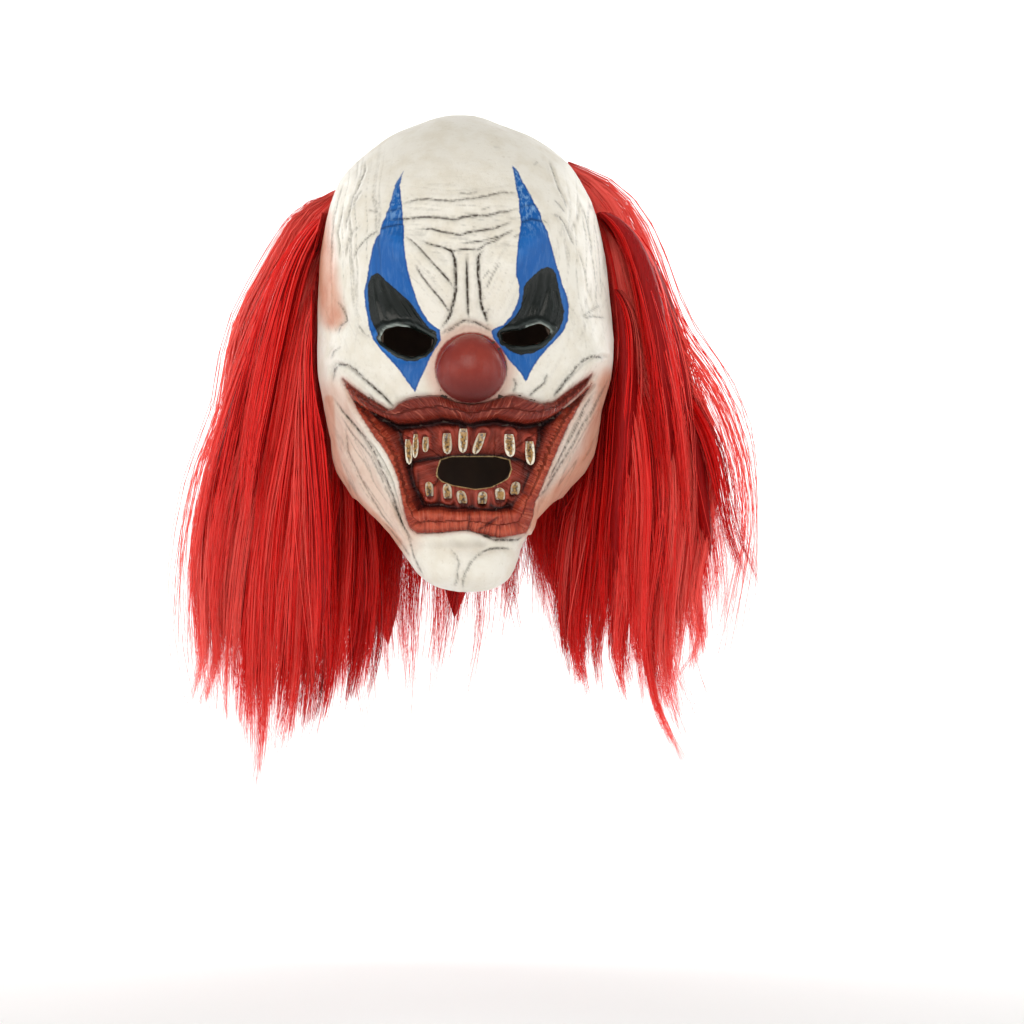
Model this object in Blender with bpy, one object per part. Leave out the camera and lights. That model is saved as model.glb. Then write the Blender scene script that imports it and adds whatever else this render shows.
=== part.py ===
"""Clown mask: a hollow latex mask over the whole head, with long red side hair, life size.

Metres, +Z up, the face looks along -Y and its right is at +X as the viewer sees it.
The origin is the inside of the crown, where the head carries the mask.
"""

import math

import bmesh
import bpy
import numpy as np
from mathutils import Vector
from mathutils.bvhtree import BVHTree

# The latex head.
MASK_HEIGHT = 0.288
MASK_WIDTH = 0.174
FRONT_REACH = 0.100
BACK_REACH = 0.105
WALL = 0.002

# The nose ball.
NOSE_WIDTH = 0.041
NOSE_HEIGHT = 0.041
NOSE_REACH = 0.026
NOSE_SIDE = 0.002
NOSE_DROP = 0.1575
# How far round the ball the latex follows it, and the share of its half size where it ends.
NOSE_SWING = math.radians(112)
NOSE_FOOT = 1.15

# The eye holes and the mouth hole, cut straight through the front.
EYE_WIDTH = 0.031
EYE_HEIGHT = 0.0165
EYE_SPACING = 0.0700
EYE_DROP = 0.1390
EYE_TILT = 0.0021
EYE_SIDE = -0.0012
MOUTH_HOLE_WIDTH = 0.044
MOUTH_HOLE_HEIGHT = 0.019
MOUTH_HOLE_DROP = 0.2183
MOUTH_HOLE_SIDE = 0.0034
CUTTER_LENGTH = 0.110
CUTTER_START = 0.150

# The lips, gums and teeth.
RELIEF = 0.0050
LIP_HALF_HEIGHT = 0.0075
MOUTH_SINK = 0.0065
GUM_LIFT = 0.0035
GUM_HALF_HEIGHT = 0.0085
TOOTH_RADIUS = 0.0022
TOOTH_STANDS_OUT = 0.0022
TOOTH_ROOT_DEPTH = 0.0012
TOOTH_SIDES = 6

# The hair.
HAIR_GAP = 0.0005
BACKING_THICKNESS = 0.004
BACKING_TOP = 0.052
BACKING_HEIGHT = 0.075
BACKING_FRONT = math.radians(86)
PARTING_GAP = 0.0006
HAIR_LENGTH_LEFT = 0.395
HAIR_LENGTH_RIGHT = 0.352
HAIR_REACH_LEFT = 0.172
HAIR_REACH_RIGHT = 0.154
LOCK_WIDTH = 0.046
LOCK_THICKNESS = 0.034
LOCK_WAVE = 0.007
LOCK_SIDES = 6
LOCK_RINGS = 8

# Sections of the head from the crown to the rim. The three drops are where the section's
# front, side and back lie below the crown, as shares of MASK_HEIGHT. Then come its half
# width, front and back as shares of MASK_WIDTH / 2, FRONT_REACH and BACK_REACH, and how
# square its plan is, where 2 is an ellipse.
SECTIONS = (
    # front  side   back   width  ahead  behind square
    (0.000, 0.000, 0.000, 0.000, 0.000, 0.000, 2.00),
    (0.006, 0.006, 0.006, 0.190, 0.130, 0.190, 2.00),
    (0.022, 0.022, 0.022, 0.380, 0.270, 0.370, 2.00),
    (0.046, 0.046, 0.046, 0.550, 0.420, 0.530, 2.00),
    (0.074, 0.074, 0.074, 0.680, 0.550, 0.660, 2.00),
    (0.108, 0.108, 0.108, 0.800, 0.675, 0.780, 2.00),
    (0.147, 0.147, 0.147, 0.880, 0.785, 0.860, 2.05),
    (0.200, 0.200, 0.200, 0.945, 0.885, 0.930, 2.10),
    (0.287, 0.287, 0.283, 0.985, 0.960, 0.985, 2.15),
    (0.382, 0.380, 0.370, 1.000, 0.980, 1.000, 2.20),
    (0.478, 0.468, 0.460, 1.000, 0.950, 0.990, 2.20),
    (0.559, 0.540, 0.545, 0.995, 0.965, 0.967, 2.20),
    (0.640, 0.606, 0.620, 0.968, 0.972, 0.933, 2.20),
    (0.713, 0.662, 0.680, 0.945, 0.972, 0.900, 2.15),
    (0.787, 0.710, 0.728, 0.915, 0.965, 0.876, 2.10),
    (0.860, 0.746, 0.764, 0.880, 0.972, 0.857, 2.10),
    (0.926, 0.772, 0.792, 0.845, 0.995, 0.843, 2.10),
    (0.970, 0.786, 0.808, 0.822, 0.970, 0.838, 2.10),
    (0.995, 0.796, 0.820, 0.805, 0.860, 0.834, 2.10),
    (0.992, 0.803, 0.828, 0.792, 0.700, 0.831, 2.10),
    (0.965, 0.808, 0.834, 0.782, 0.560, 0.829, 2.10),
)
# How sharply a low section dips from its side to its front.
JAW_POWER = 3

# How finely the latex is divided: steps in each stretch between two sections, and the
# columns of the face and of the rest of the way round.
STEPS = (1, 1, 1, 1, 1, 1, 1, 2, 2, 3, 4, 4, 4, 3, 3, 2, 1, 1, 1, 1)
FACE_HALF_ANGLE = math.radians(66)
FACE_COLUMNS = 30
FACE_CROWDING = 1.4
FACE_CROWDING_ANGLE = math.radians(20)
REAR_COLUMNS = 11

# Swellings and hollows of the face: the place as shares of the half width to the side and
# of the height down, the half length and half width as shares of the half width, the lean
# of the long way from upright in degrees, and the lift as a share of RELIEF.
SWELLINGS = {
    # name           side    down   long  wide  lean  lift
    "brow_left": (-0.33, 0.320, 0.40, 0.15, -42, 1.00),
    "brow_right": (0.31, 0.315, 0.40, 0.15, 40, 1.00),
    "frown": (0.00, 0.385, 0.28, 0.10, 0, 0.60),
    "socket_left": (-0.45, 0.450, 0.30, 0.18, -35, -1.60),
    "socket_right": (0.42, 0.440, 0.30, 0.18, 33, -1.60),
    "cheek_left": (-0.74, 0.550, 0.26, 0.22, 20, 1.30),
    "cheek_right": (0.78, 0.530, 0.26, 0.22, -20, 1.30),
    "muzzle": (0.01, 0.700, 0.66, 0.62, 0, 1.00),
    "smile_left": (-0.62, 0.720, 0.42, 0.10, -28, 0.60),
    "smile_right": (0.66, 0.715, 0.42, 0.10, 28, 0.60),
    "chin": (0.01, 0.945, 0.32, 0.22, 90, 1.00),
}

# The middle lines of the lips and gums: to the side as shares of the half width, and down
# as shares of the height.
UPPER_LIP = (
    (-0.84, 0.580), (-0.70, 0.616), (-0.54, 0.637), (-0.43, 0.635), (-0.26, 0.626), (-0.09, 0.626),
    (0.01, 0.634), (0.12, 0.630), (0.25, 0.622), (0.40, 0.630), (0.54, 0.626), (0.66, 0.610), (0.82, 0.571),
)
LOWER_LIP = (
    (-0.84, 0.580), (-0.60, 0.688), (-0.46, 0.774), (-0.42, 0.819), (-0.36, 0.853), (-0.26, 0.860),
    (0.01, 0.858), (0.29, 0.864), (0.36, 0.841), (0.41, 0.804), (0.46, 0.770), (0.60, 0.682), (0.82, 0.571),
)
GUMS = (
    ((-0.46, 0.702), (-0.26, 0.688), (0.01, 0.688), (0.25, 0.688), (0.46, 0.704)),
    ((-0.34, 0.778), (-0.26, 0.798), (-0.04, 0.815), (0.22, 0.808), (0.35, 0.782)),
)

# The lips flatten out at the corners of the smile, from this share of the half width on.
LIP_FADE_START = 0.55
LIP_FADE = 0.32

# The teeth: the root and the tip, on the same shares, and the size.
TEETH = (
    # side   root   side    tip    size
    (-0.408, 0.690, -0.408, 0.738, 0.90),
    (-0.350, 0.680, -0.350, 0.724, 0.80),
    (-0.285, 0.686, -0.285, 0.714, 0.80),
    (-0.142, 0.682, -0.142, 0.716, 1.10),
    (-0.033, 0.672, -0.033, 0.713, 1.10),
    (0.110, 0.682, 0.045, 0.715, 1.05),
    (0.280, 0.682, 0.294, 0.721, 1.20),
    (0.417, 0.696, 0.437, 0.738, 1.10),
    (-0.265, 0.778, -0.265, 0.802, 0.95),
    (-0.136, 0.783, -0.136, 0.805, 1.05),
    (-0.040, 0.798, -0.040, 0.816, 1.15),
    (0.096, 0.797, 0.096, 0.814, 1.15),
    (0.219, 0.794, 0.219, 0.809, 1.10),
    (0.321, 0.781, 0.321, 0.796, 1.10),
)

# The outlines of the holes, as shares of their half width and half height.
EYE_OUTLINE = (
    (1.00, -0.05), (0.62, 0.45), (0.15, 0.80), (-0.40, 0.95), (-0.80, 0.70), (-1.00, 0.05),
    (-0.75, -0.50), (-0.35, -0.88), (0.10, -1.00), (0.50, -0.90), (0.82, -0.55),
)
MOUTH_OUTLINE = (
    (1.00, 0.10), (0.90, 0.75), (0.40, 0.95), (-0.40, 0.95), (-0.88, 0.70), (-1.00, 0.00),
    (-0.82, -0.60), (-0.40, -0.90), (0.10, -1.00), (0.60, -0.85), (0.90, -0.45),
)

# The locks of one side. The root is a share of the way round from the temple to the parting
# and a share of the way up the backing. The tip's turn is a share of the same way round, its
# reach a share of how far the side's hair stands out beyond the head, and its drop a share of
# the side's hair length.
LOCKS = (
    # round height turn   reach  drop  size
    (0.07, 0.92, 0.05, 0.60, 0.68, 0.75),
    (0.08, 0.30, 0.00, 0.05, 0.88, 0.80),
    (0.15, 0.94, 0.13, 1.00, 0.88, 1.00),
    (0.20, 0.45, 0.12, 0.51, 1.00, 1.05),
    (0.30, 0.92, 0.29, 1.00, 0.93, 1.10),
    (0.40, 0.40, 0.38, 0.39, 0.93, 1.05),
    (0.50, 0.90, 0.51, 0.88, 0.97, 1.15),
    (0.62, 0.45, 0.62, 0.39, 0.88, 1.10),
    (0.74, 0.90, 0.75, 0.68, 0.96, 1.20),
    (0.92, 0.75, 0.92, 0.47, 0.90, 1.20),
)
# The lock's fullness along its length, as shares of its full size.
LOCK_FULLNESS = (0.50, 0.80, 0.95, 1.00, 0.90, 0.30)
# A lock's arch, as shares: how far it springs out for its stand-off and its thickness, how far
# it has dropped where it springs out, and how far up and in from the tip it is drawn again.
SPRING_FOR_REACH = 0.30
SPRING_FOR_THICKNESS = 0.60
SPRING_DROP = 0.12
HANG_RISE = 0.42
HANG_PULL = 0.25
# The lock's wave: its number of turns, and the shift from one lock to the next in radians.
WAVE_TURNS = 1.3
WAVE_SHIFT = 1.9
# The middle of a lock stays outside the latex by this share of its half thickness.
LOCK_CLEARANCE = 0.35
BACKING_COLUMNS = 9
BACKING_ROWS = 4
BACKING_OVERLAP = 0.06

# Where the ball of the nose starts to settle into the face, as a share of its foot.
NOSE_SETTLE_START = 0.75
# The relief fades out on the sides: from this forward lean of the surface, over this range.
RELIEF_FADE_START = -0.20
RELIEF_FADE = 0.60
# A tooth's shape: shares of its length, and its radius there as a share of the full radius.
TOOTH_SHAPE = ((0.0, 1.0), (0.55, 1.0), (0.9, 0.8), (1.0, 0.4))

LATEX_COLOUR = (0.76, 0.72, 0.63)
LATEX_ROUGHNESS = 0.45
HAIR_COLOUR = (0.74, 0.01, 0.02)
HAIR_ROUGHNESS = 0.6

HALF_WIDTH = MASK_WIDTH / 2


def clear_scene():
    for obj in list(bpy.data.objects):
        bpy.data.objects.remove(obj)


def smooth_rows(table, at):
    """The table's columns at fractional row numbers, on a curve through its rows."""
    rows = np.array(table)
    padded = np.vstack([2 * rows[0] - rows[1], rows, 2 * rows[-1] - rows[-2]])
    at = np.clip(np.asarray(at, float), 0, len(rows) - 1)
    start = np.minimum(at.astype(int), len(rows) - 2)
    t = (at - start)[..., None]
    a, b, c, d = (padded[start + k] for k in range(4))
    return b + 0.5 * t * (c - a + t * (2 * a - 5 * b + 4 * c - d + t * (3 * (b - c) + d - a)))


def head_point(row, angle):
    """A point of the plain head, at a section number and an angle round from the front."""
    front, side, back, width, ahead, behind, square = np.moveaxis(smooth_rows(SECTIONS, row), -1, 0)
    across, along = np.sin(angle), np.cos(angle)
    power = 2 / square
    x = HALF_WIDTH * width * np.sign(across) * np.abs(across) ** power
    reach = np.where(along > 0, -FRONT_REACH * ahead, BACK_REACH * behind)
    y = reach * np.abs(along) ** power
    end = np.where(along > 0, front, back)
    turn = np.where(along > 0, np.abs(along) ** JAW_POWER, along**2)
    z = WALL - MASK_HEIGHT * (side + (end - side) * turn)
    return np.stack([x, y, z], -1)


def head_normal(row, angle):
    """The outward direction of the plain head."""
    step = 1e-3
    down = head_point(row + step, angle) - head_point(row - step, angle)
    around = head_point(row, angle + step) - head_point(row, angle - step)
    normal = np.cross(down, around)
    return normal / np.maximum(np.linalg.norm(normal, axis=-1, keepdims=True), 1e-12)


def smooth_step(t):
    t = np.clip(t, 0, 1)
    return t * t * (3 - 2 * t)


def on_face(shares):
    """Metres to the side and down from shares of the half width and the height."""
    return [(side * HALF_WIDTH, down * MASK_HEIGHT) for side, down in shares]


def distance_to_path(side, down, path):
    nearest = np.full(np.shape(side), 1e9)
    for (side_0, down_0), (side_1, down_1) in zip(path, path[1:]):
        run, fall = side_1 - side_0, down_1 - down_0
        share = ((side - side_0) * run + (down - down_0) * fall) / (run**2 + fall**2)
        share = np.clip(share, 0, 1)
        nearest = np.minimum(nearest, np.hypot(side - side_0 - share * run, down - down_0 - share * fall))
    return nearest


def inside(side, down, outline):
    """True where points lie inside a closed outline."""
    found = np.zeros(np.shape(side), bool)
    for (side_0, down_0), (side_1, down_1) in zip(outline, outline[1:] + outline[:1]):
        if down_0 == down_1:
            continue
        crosses = (down_0 > down) != (down_1 > down)
        found ^= crosses & (side < side_0 + (down - down_0) * (side_1 - side_0) / (down_1 - down_0))
    return found


def face_lift(side, down):
    """How far the face stands out of the plain head."""
    lift = np.zeros(np.shape(side))
    for place_side, place_down, long, wide, lean, height in SWELLINGS.values():
        run, fall = side - place_side * HALF_WIDTH, down - place_down * MASK_HEIGHT
        turn = math.radians(lean)
        along = (fall * math.cos(turn) - run * math.sin(turn)) / (long * HALF_WIDTH)
        across = (run * math.cos(turn) + fall * math.sin(turn)) / (wide * HALF_WIDTH)
        lift += height * RELIEF * np.exp(-(along**2) - across**2)
    upper, lower = on_face(UPPER_LIP), on_face(LOWER_LIP)
    to_lips = np.minimum(distance_to_path(side, down, upper), distance_to_path(side, down, lower))
    sunk = np.where(inside(side, down, upper + lower[::-1]), smooth_step(to_lips / LIP_HALF_HEIGHT), 0)
    fade = 1 - smooth_step((np.abs(side) / HALF_WIDTH - LIP_FADE_START) / LIP_FADE)
    lift -= MOUTH_SINK * sunk
    lift += RELIEF * fade * np.exp(-((to_lips / LIP_HALF_HEIGHT) ** 2))
    for gum in GUMS:
        to_gum = distance_to_path(side, down, on_face(gum))
        lift += GUM_LIFT * sunk * np.exp(-((to_gum / GUM_HALF_HEIGHT) ** 4))
    return lift


def round_nose(points):
    """Draws the front of the face out into the ball of the nose."""
    side = (points[..., 0] - NOSE_SIDE) / (NOSE_WIDTH / 2)
    down = (WALL - points[..., 2] - NOSE_DROP) / (NOSE_HEIGHT / 2)
    away = np.hypot(side, down)
    share = np.clip(away / NOSE_FOOT, 1e-6, 1)
    swing = share * NOSE_SWING
    ball = np.sin(swing)
    settle = smooth_step((share - NOSE_SETTLE_START) / (1 - NOSE_SETTLE_START))
    spread = (ball * (1 - settle) + NOSE_FOOT * share * settle) / np.maximum(away, 1e-6) - 1
    low = math.cos(NOSE_SWING)
    front = (points[..., 1] < 0) & (away < NOSE_FOOT)
    moved = points.copy()
    moved[..., 0] += np.where(front, spread * side * NOSE_WIDTH / 2, 0)
    moved[..., 2] -= np.where(front, spread * down * NOSE_HEIGHT / 2, 0)
    moved[..., 1] -= np.where(front, NOSE_REACH * (np.cos(swing) - low) / (1 - low), 0)
    return moved


def latex_point(row, angle):
    """A point on the outside of the latex, with the face's relief."""
    points = head_point(row, angle)
    normal = head_normal(row, angle)
    weight = smooth_step((-normal[..., 1] - RELIEF_FADE_START) / RELIEF_FADE)
    lift = face_lift(points[..., 0], WALL - points[..., 2]) * weight
    return round_nose(points + normal * lift[..., None])


def grid_rows():
    rows = []
    for section, count in enumerate(STEPS):
        rows += [section + (k + 1) / count for k in range(count)]
    return rows


def grid_angles():
    """The columns, crowded towards the middle of the face, then evenly round the rear."""
    fine = np.linspace(-FACE_HALF_ANGLE, FACE_HALF_ANGLE, 400)
    density = 1 + FACE_CROWDING * np.exp(-((fine / FACE_CROWDING_ANGLE) ** 2))
    travelled = np.concatenate([[0], np.cumsum((density[1:] + density[:-1]) / 2)])
    face = np.interp(np.linspace(0, travelled[-1], FACE_COLUMNS), travelled, fine)
    rear = np.linspace(FACE_HALF_ANGLE, 2 * math.pi - FACE_HALF_ANGLE, REAR_COLUMNS + 2)[1:-1]
    return np.concatenate([face, rear])


def new_object(name, vertices, faces, material=None):
    mesh = bpy.data.meshes.new(name)
    mesh.from_pydata([tuple(v) for v in vertices], [], faces)
    sheet = bmesh.new()
    sheet.from_mesh(mesh)
    bmesh.ops.recalc_face_normals(sheet, faces=sheet.faces)
    sheet.to_mesh(mesh)
    sheet.free()
    if material:
        mesh.materials.append(material)
    obj = bpy.data.objects.new(name, mesh)
    bpy.context.scene.collection.objects.link(obj)
    return obj


def new_helper(name, vertices, faces):
    """A shape that only cuts or joins others, and isn't part of the mask."""
    helper = new_object(name, vertices, faces)
    helper.hide_render = True
    helper.display_type = "WIRE"
    return helper


def new_material(name, colour, roughness):
    material = bpy.data.materials.new(name)
    material.use_nodes = True
    shader = material.node_tree.nodes["Principled BSDF"]
    shader.inputs["Base Color"].default_value = (*colour, 1)
    shader.inputs["Roughness"].default_value = roughness
    shader.inputs["Metallic"].default_value = 0
    return material


def boolean(obj, other, operation):
    modifier = obj.modifiers.new(operation.lower() + "_" + other.name, "BOOLEAN")
    modifier.operation = operation
    modifier.solver = "EXACT"
    modifier.object = other


def ring_faces(rings, count):
    """The faces between neighbouring rings of points."""
    faces = []
    for r in range(rings - 1):
        for k in range(count):
            a, b = r * count + k, r * count + (k + 1) % count
            faces.append((a, a + count, b + count, b))
    return faces


def latex_grid(gap=0.0):
    """The outside of the latex, or the surface that lies a gap outside it."""
    row, angle = np.meshgrid(grid_rows(), grid_angles(), indexing="ij")
    return latex_point(row, angle) + head_normal(row, angle) * gap


def make_sheet(material):
    grid = latex_grid()
    rings, count = grid.shape[:2]
    crown = rings * count
    faces = [(crown, (k + 1) % count, k) for k in range(count)] + ring_faces(rings, count)
    vertices = np.vstack([grid.reshape(-1, 3), [[0, 0, WALL]]])
    return new_object("mask_shell", vertices, faces, material)


def prism(name, outline):
    """A cutter that goes through the face from front to back."""
    ends = [[(x, -CUTTER_START + step, z) for x, z in outline] for step in (0, CUTTER_LENGTH)]
    count = len(outline)
    faces = [tuple(range(count)), tuple(range(2 * count - 1, count - 1, -1))]
    return new_helper(name, ends[0] + ends[1], faces + ring_faces(2, count))


def hole_outline(shape, side, down, width, height, mirror=1):
    return [(side + mirror * u * width / 2, WALL - down + w * height / 2) for u, w in shape]


def make_tooth(surface, root_side, root_down, tip_side, tip_down, size):
    """A peg whose back is sunk in the gum, from its root to its rounded tip."""
    ends = []
    for side, down in ((root_side, root_down), (tip_side, tip_down)):
        x, z = side * HALF_WIDTH, WALL - down * MASK_HEIGHT
        hit = surface.ray_cast(Vector((x, -CUTTER_START, z)), Vector((0, 1, 0)))[0]
        ends.append(Vector((x, hit.y if hit else -FRONT_REACH, z)))
    ends[1].y = min(ends[1].y, ends[0].y + TOOTH_RADIUS)
    radius = TOOTH_RADIUS * size
    reach = TOOTH_STANDS_OUT - radius
    start = ends[0] + Vector((0, -reach, 0)) - (ends[1] - ends[0]).normalized() * TOOTH_ROOT_DEPTH
    end = ends[1] + Vector((0, -reach, 0))
    centres = [start.lerp(end, share) for share, _ in TOOTH_SHAPE]
    half_sizes = [(radius * full, radius * full) for _, full in TOOTH_SHAPE]
    return tube(centres, half_sizes, TOOTH_SIDES, Vector((1, 0, 0)))


def tube(centres, half_sizes, sides, across):
    """Points and faces of a closed tube: its half size across and through at each centre."""
    points = []
    for k, (centre, (wide, thick)) in enumerate(zip(centres, half_sizes)):
        along = (centres[min(k + 1, len(centres) - 1)] - centres[max(k - 1, 0)]).normalized()
        through = along.cross(across).normalized()
        level = through.cross(along).normalized()
        for s in range(sides):
            turn = 2 * math.pi * s / sides
            points.append(centre + level * wide * math.cos(turn) + through * thick * math.sin(turn))
    last = len(points)
    faces = [tuple(range(sides)), tuple(range(last - 1, last - sides - 1, -1))]
    return points, faces + ring_faces(len(centres), sides)


def join_into(obj, name, shapes):
    """Unites an object with several closed shapes."""
    for number, (points, faces) in enumerate(shapes):
        boolean(obj, new_helper(f"{name}_{number}", points, faces), "UNION")


def make_mask(material):
    shell = make_sheet(material)
    surface = BVHTree.FromObject(shell, bpy.context.evaluated_depsgraph_get())
    solid = shell.modifiers.new("wall", "SOLIDIFY")
    solid.thickness = WALL
    solid.offset = -1
    teeth = [make_tooth(surface, *tooth) for tooth in TEETH]
    join_into(shell, "tooth", teeth)
    for name, mirror in (("eye_left_cut", -1), ("eye_right_cut", 1)):
        side = EYE_SIDE + mirror * EYE_SPACING / 2
        drop = EYE_DROP - mirror * EYE_TILT
        outline = hole_outline(EYE_OUTLINE, side, drop, EYE_WIDTH, EYE_HEIGHT, -mirror)
        boolean(shell, prism(name, outline), "DIFFERENCE")
    outline = hole_outline(MOUTH_OUTLINE, MOUTH_HOLE_SIDE, MOUTH_HOLE_DROP, MOUTH_HOLE_WIDTH,
                           MOUTH_HOLE_HEIGHT)
    boolean(shell, prism("mouth_cut", outline), "DIFFERENCE")
    return shell


def make_head_space():
    """What the hair has to stay out of: the latex head, a gap outside it, and closed below."""
    grid = latex_grid(HAIR_GAP)
    rings, count = grid.shape[:2]
    below = grid[-1] + np.array([0, 0, -2 * HAIR_GAP])
    points = np.vstack([grid.reshape(-1, 3), below, [[0, 0, WALL + HAIR_GAP]], [below.mean(axis=0)]])
    crown = (rings + 1) * count
    last = rings * count
    faces = ring_faces(rings + 1, count)
    faces += [(crown, (k + 1) % count, k) for k in range(count)]
    faces += [(crown + 1, last + k, last + (k + 1) % count) for k in range(count)]
    return new_helper("head_space", points, faces)


def make_side_space(mirror):
    """What one side's hair has to stay out of: the other side of the parting."""
    reach = 2 * (HAIR_REACH_LEFT + HAIR_REACH_RIGHT)
    edge = mirror * PARTING_GAP / 2
    far = -mirror * reach
    corners = ((edge, -reach), (far, -reach), (far, reach), (edge, reach))
    points = [(x, y, z) for z in (-reach, reach) for x, y in corners]
    faces = [(0, 1, 2, 3), (7, 6, 5, 4)] + ring_faces(2, 4)
    return new_helper("side_space_left" if mirror < 0 else "side_space_right", points, faces)


def row_at_drop(drop, angle):
    """The section number where the head's side lies this far below the crown."""
    rows = np.linspace(1, len(SECTIONS) - 1, 200)
    drops = WALL - head_point(rows, np.full_like(rows, angle))[:, 2]
    return float(np.interp(drop, drops, rows))


def backing_place(round_share, height_share, mirror, lift):
    """A point over the latex, by shares of the backing's length and height."""
    angle = mirror * (BACKING_FRONT + round_share * (math.pi + BACKING_OVERLAP - BACKING_FRONT))
    row = row_at_drop(BACKING_TOP + (1 - height_share) * BACKING_HEIGHT, abs(angle))
    normal = head_normal(np.array(row), np.array(angle))
    return Vector(head_point(np.array(row), np.array(angle)) + normal * lift), Vector(normal)


def make_backing(name, mirror, material):
    """The curved strip on the latex that carries one side's locks."""
    columns, rows = BACKING_COLUMNS, BACKING_ROWS
    points = []
    for lift in (-HAIR_GAP, HAIR_GAP + BACKING_THICKNESS):
        for c in range(columns + 1):
            for r in range(rows + 1):
                points.append(backing_place(c / columns, r / rows, mirror, lift)[0])
    layer = (columns + 1) * (rows + 1)
    faces = []
    for c in range(columns):
        for r in range(rows):
            a = c * (rows + 1) + r
            quad = (a, a + 1, a + rows + 2, a + rows + 1)
            faces += [quad, tuple(layer + v for v in reversed(quad))]
    edge = [c * (rows + 1) for c in range(columns + 1)]
    edge += [columns * (rows + 1) + r for r in range(1, rows + 1)]
    edge += [c * (rows + 1) + rows for c in range(columns - 1, -1, -1)]
    edge += [r for r in range(rows - 1, 0, -1)]
    for a, b in zip(edge, edge[1:] + edge[:1]):
        faces.append((a, b, layer + b, layer + a))
    return new_object(name, points, faces, material)


def clear_of_latex(point, thick):
    """Draws a point of a lock's middle outwards, where the lock would sink into the latex."""
    angle = math.atan2(point.x, -point.y)
    row = row_at_drop(WALL - point.z, abs(angle))
    side, ahead, _ = head_point(np.array(row), np.array(angle))
    nearest = math.hypot(side, ahead) + HAIR_GAP + LOCK_CLEARANCE * thick
    out = math.hypot(point.x, point.y)
    share = max(nearest / max(out, HAIR_GAP), 1)
    return Vector((point.x * share, point.y * share, point.z))


def make_lock(lock, number, mirror, length, reach):
    """One lock: it springs from the backing, arches out and hangs down in a loose wave."""
    round_share, height, turn_share, reach_share, drop, size = lock
    root, outward = backing_place(round_share, height, mirror, HAIR_GAP)
    angle = BACKING_FRONT + turn_share * (math.pi - BACKING_FRONT)
    plan = Vector((mirror * math.sin(angle), -math.cos(angle), 0))
    stand_off = HALF_WIDTH + (reach - HALF_WIDTH) * reach_share
    tip = plan * stand_off - Vector((0, 0, length * drop))
    hang = length * drop + root.z
    swing = (stand_off - root.xy.length) * SPRING_FOR_REACH + LOCK_THICKNESS * SPRING_FOR_THICKNESS
    first = root + outward * swing - Vector((0, 0, hang * SPRING_DROP))
    second = tip + Vector((0, 0, hang * HANG_RISE)) - plan * swing * HANG_PULL
    around = Vector((0, 0, 1)).cross(plan)
    centres, half_sizes = [], []
    for k in range(LOCK_RINGS):
        t = k / (LOCK_RINGS - 1)
        s = 1 - t
        centre = root * s**3 + first * (3 * s * s * t) + second * (3 * s * t * t) + tip * t**3
        sway = LOCK_WAVE * t * math.sin(2 * math.pi * WAVE_TURNS * t + WAVE_SHIFT * number)
        fullness = float(np.interp(t, np.linspace(0, 1, len(LOCK_FULLNESS)), LOCK_FULLNESS)) * size
        wide, thick = LOCK_WIDTH / 2 * fullness, LOCK_THICKNESS / 2 * fullness
        centres.append(clear_of_latex(centre + around * sway, thick) if k else centre)
        half_sizes.append((wide, thick))
    return tube(centres, half_sizes, LOCK_SIDES, around)


def make_hair(name, mirror, length, reach, head_space, material):
    hair = make_backing(name, mirror, material)
    locks = [make_lock(lock, number, mirror, length, reach) for number, lock in enumerate(LOCKS)]
    join_into(hair, name + "_lock", locks)
    boolean(hair, head_space, "DIFFERENCE")
    boolean(hair, make_side_space(mirror), "DIFFERENCE")
    return hair


def main():
    clear_scene()
    latex = new_material("ivory latex", LATEX_COLOUR, LATEX_ROUGHNESS)
    red_hair = new_material("red hair", HAIR_COLOUR, HAIR_ROUGHNESS)
    make_mask(latex)
    head_space = make_head_space()
    make_hair("hair_left", -1, HAIR_LENGTH_LEFT, HAIR_REACH_LEFT, head_space, red_hair)
    make_hair("hair_right", 1, HAIR_LENGTH_RIGHT, HAIR_REACH_RIGHT, head_space, red_hair)


main()
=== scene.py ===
# %% [markdown]
# # A horror clown's latex mask
# The real mask is one casting of latex, about 2 mm thick, painted by hand and airbrush, with
# long red synthetic hair glued round its sides and back. The frame holds its plain solids.
# This lesson builds the fine surface, the paint and the strands round that frame.

# %% The frame
import math

import bpy
import numpy as np
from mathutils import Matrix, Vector


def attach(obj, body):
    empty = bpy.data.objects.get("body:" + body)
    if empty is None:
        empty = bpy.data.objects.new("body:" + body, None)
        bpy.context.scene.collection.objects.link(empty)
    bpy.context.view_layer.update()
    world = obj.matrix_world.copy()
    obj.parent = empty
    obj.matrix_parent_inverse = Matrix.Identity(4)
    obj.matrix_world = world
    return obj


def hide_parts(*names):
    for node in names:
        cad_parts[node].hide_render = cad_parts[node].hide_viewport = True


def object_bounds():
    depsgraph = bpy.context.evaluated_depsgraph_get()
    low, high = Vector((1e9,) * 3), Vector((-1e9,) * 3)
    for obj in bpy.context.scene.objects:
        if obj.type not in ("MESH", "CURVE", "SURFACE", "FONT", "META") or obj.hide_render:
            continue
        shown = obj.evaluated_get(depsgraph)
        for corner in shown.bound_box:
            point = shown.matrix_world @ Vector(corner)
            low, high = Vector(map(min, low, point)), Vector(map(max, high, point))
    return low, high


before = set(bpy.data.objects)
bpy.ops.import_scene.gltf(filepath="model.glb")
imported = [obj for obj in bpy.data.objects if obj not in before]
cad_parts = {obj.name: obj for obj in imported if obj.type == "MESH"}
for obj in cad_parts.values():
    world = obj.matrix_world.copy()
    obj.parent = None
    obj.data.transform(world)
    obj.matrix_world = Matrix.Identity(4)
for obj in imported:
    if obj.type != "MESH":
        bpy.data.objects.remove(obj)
cad_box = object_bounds()
print("frame nodes:", sorted(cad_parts))

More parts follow.
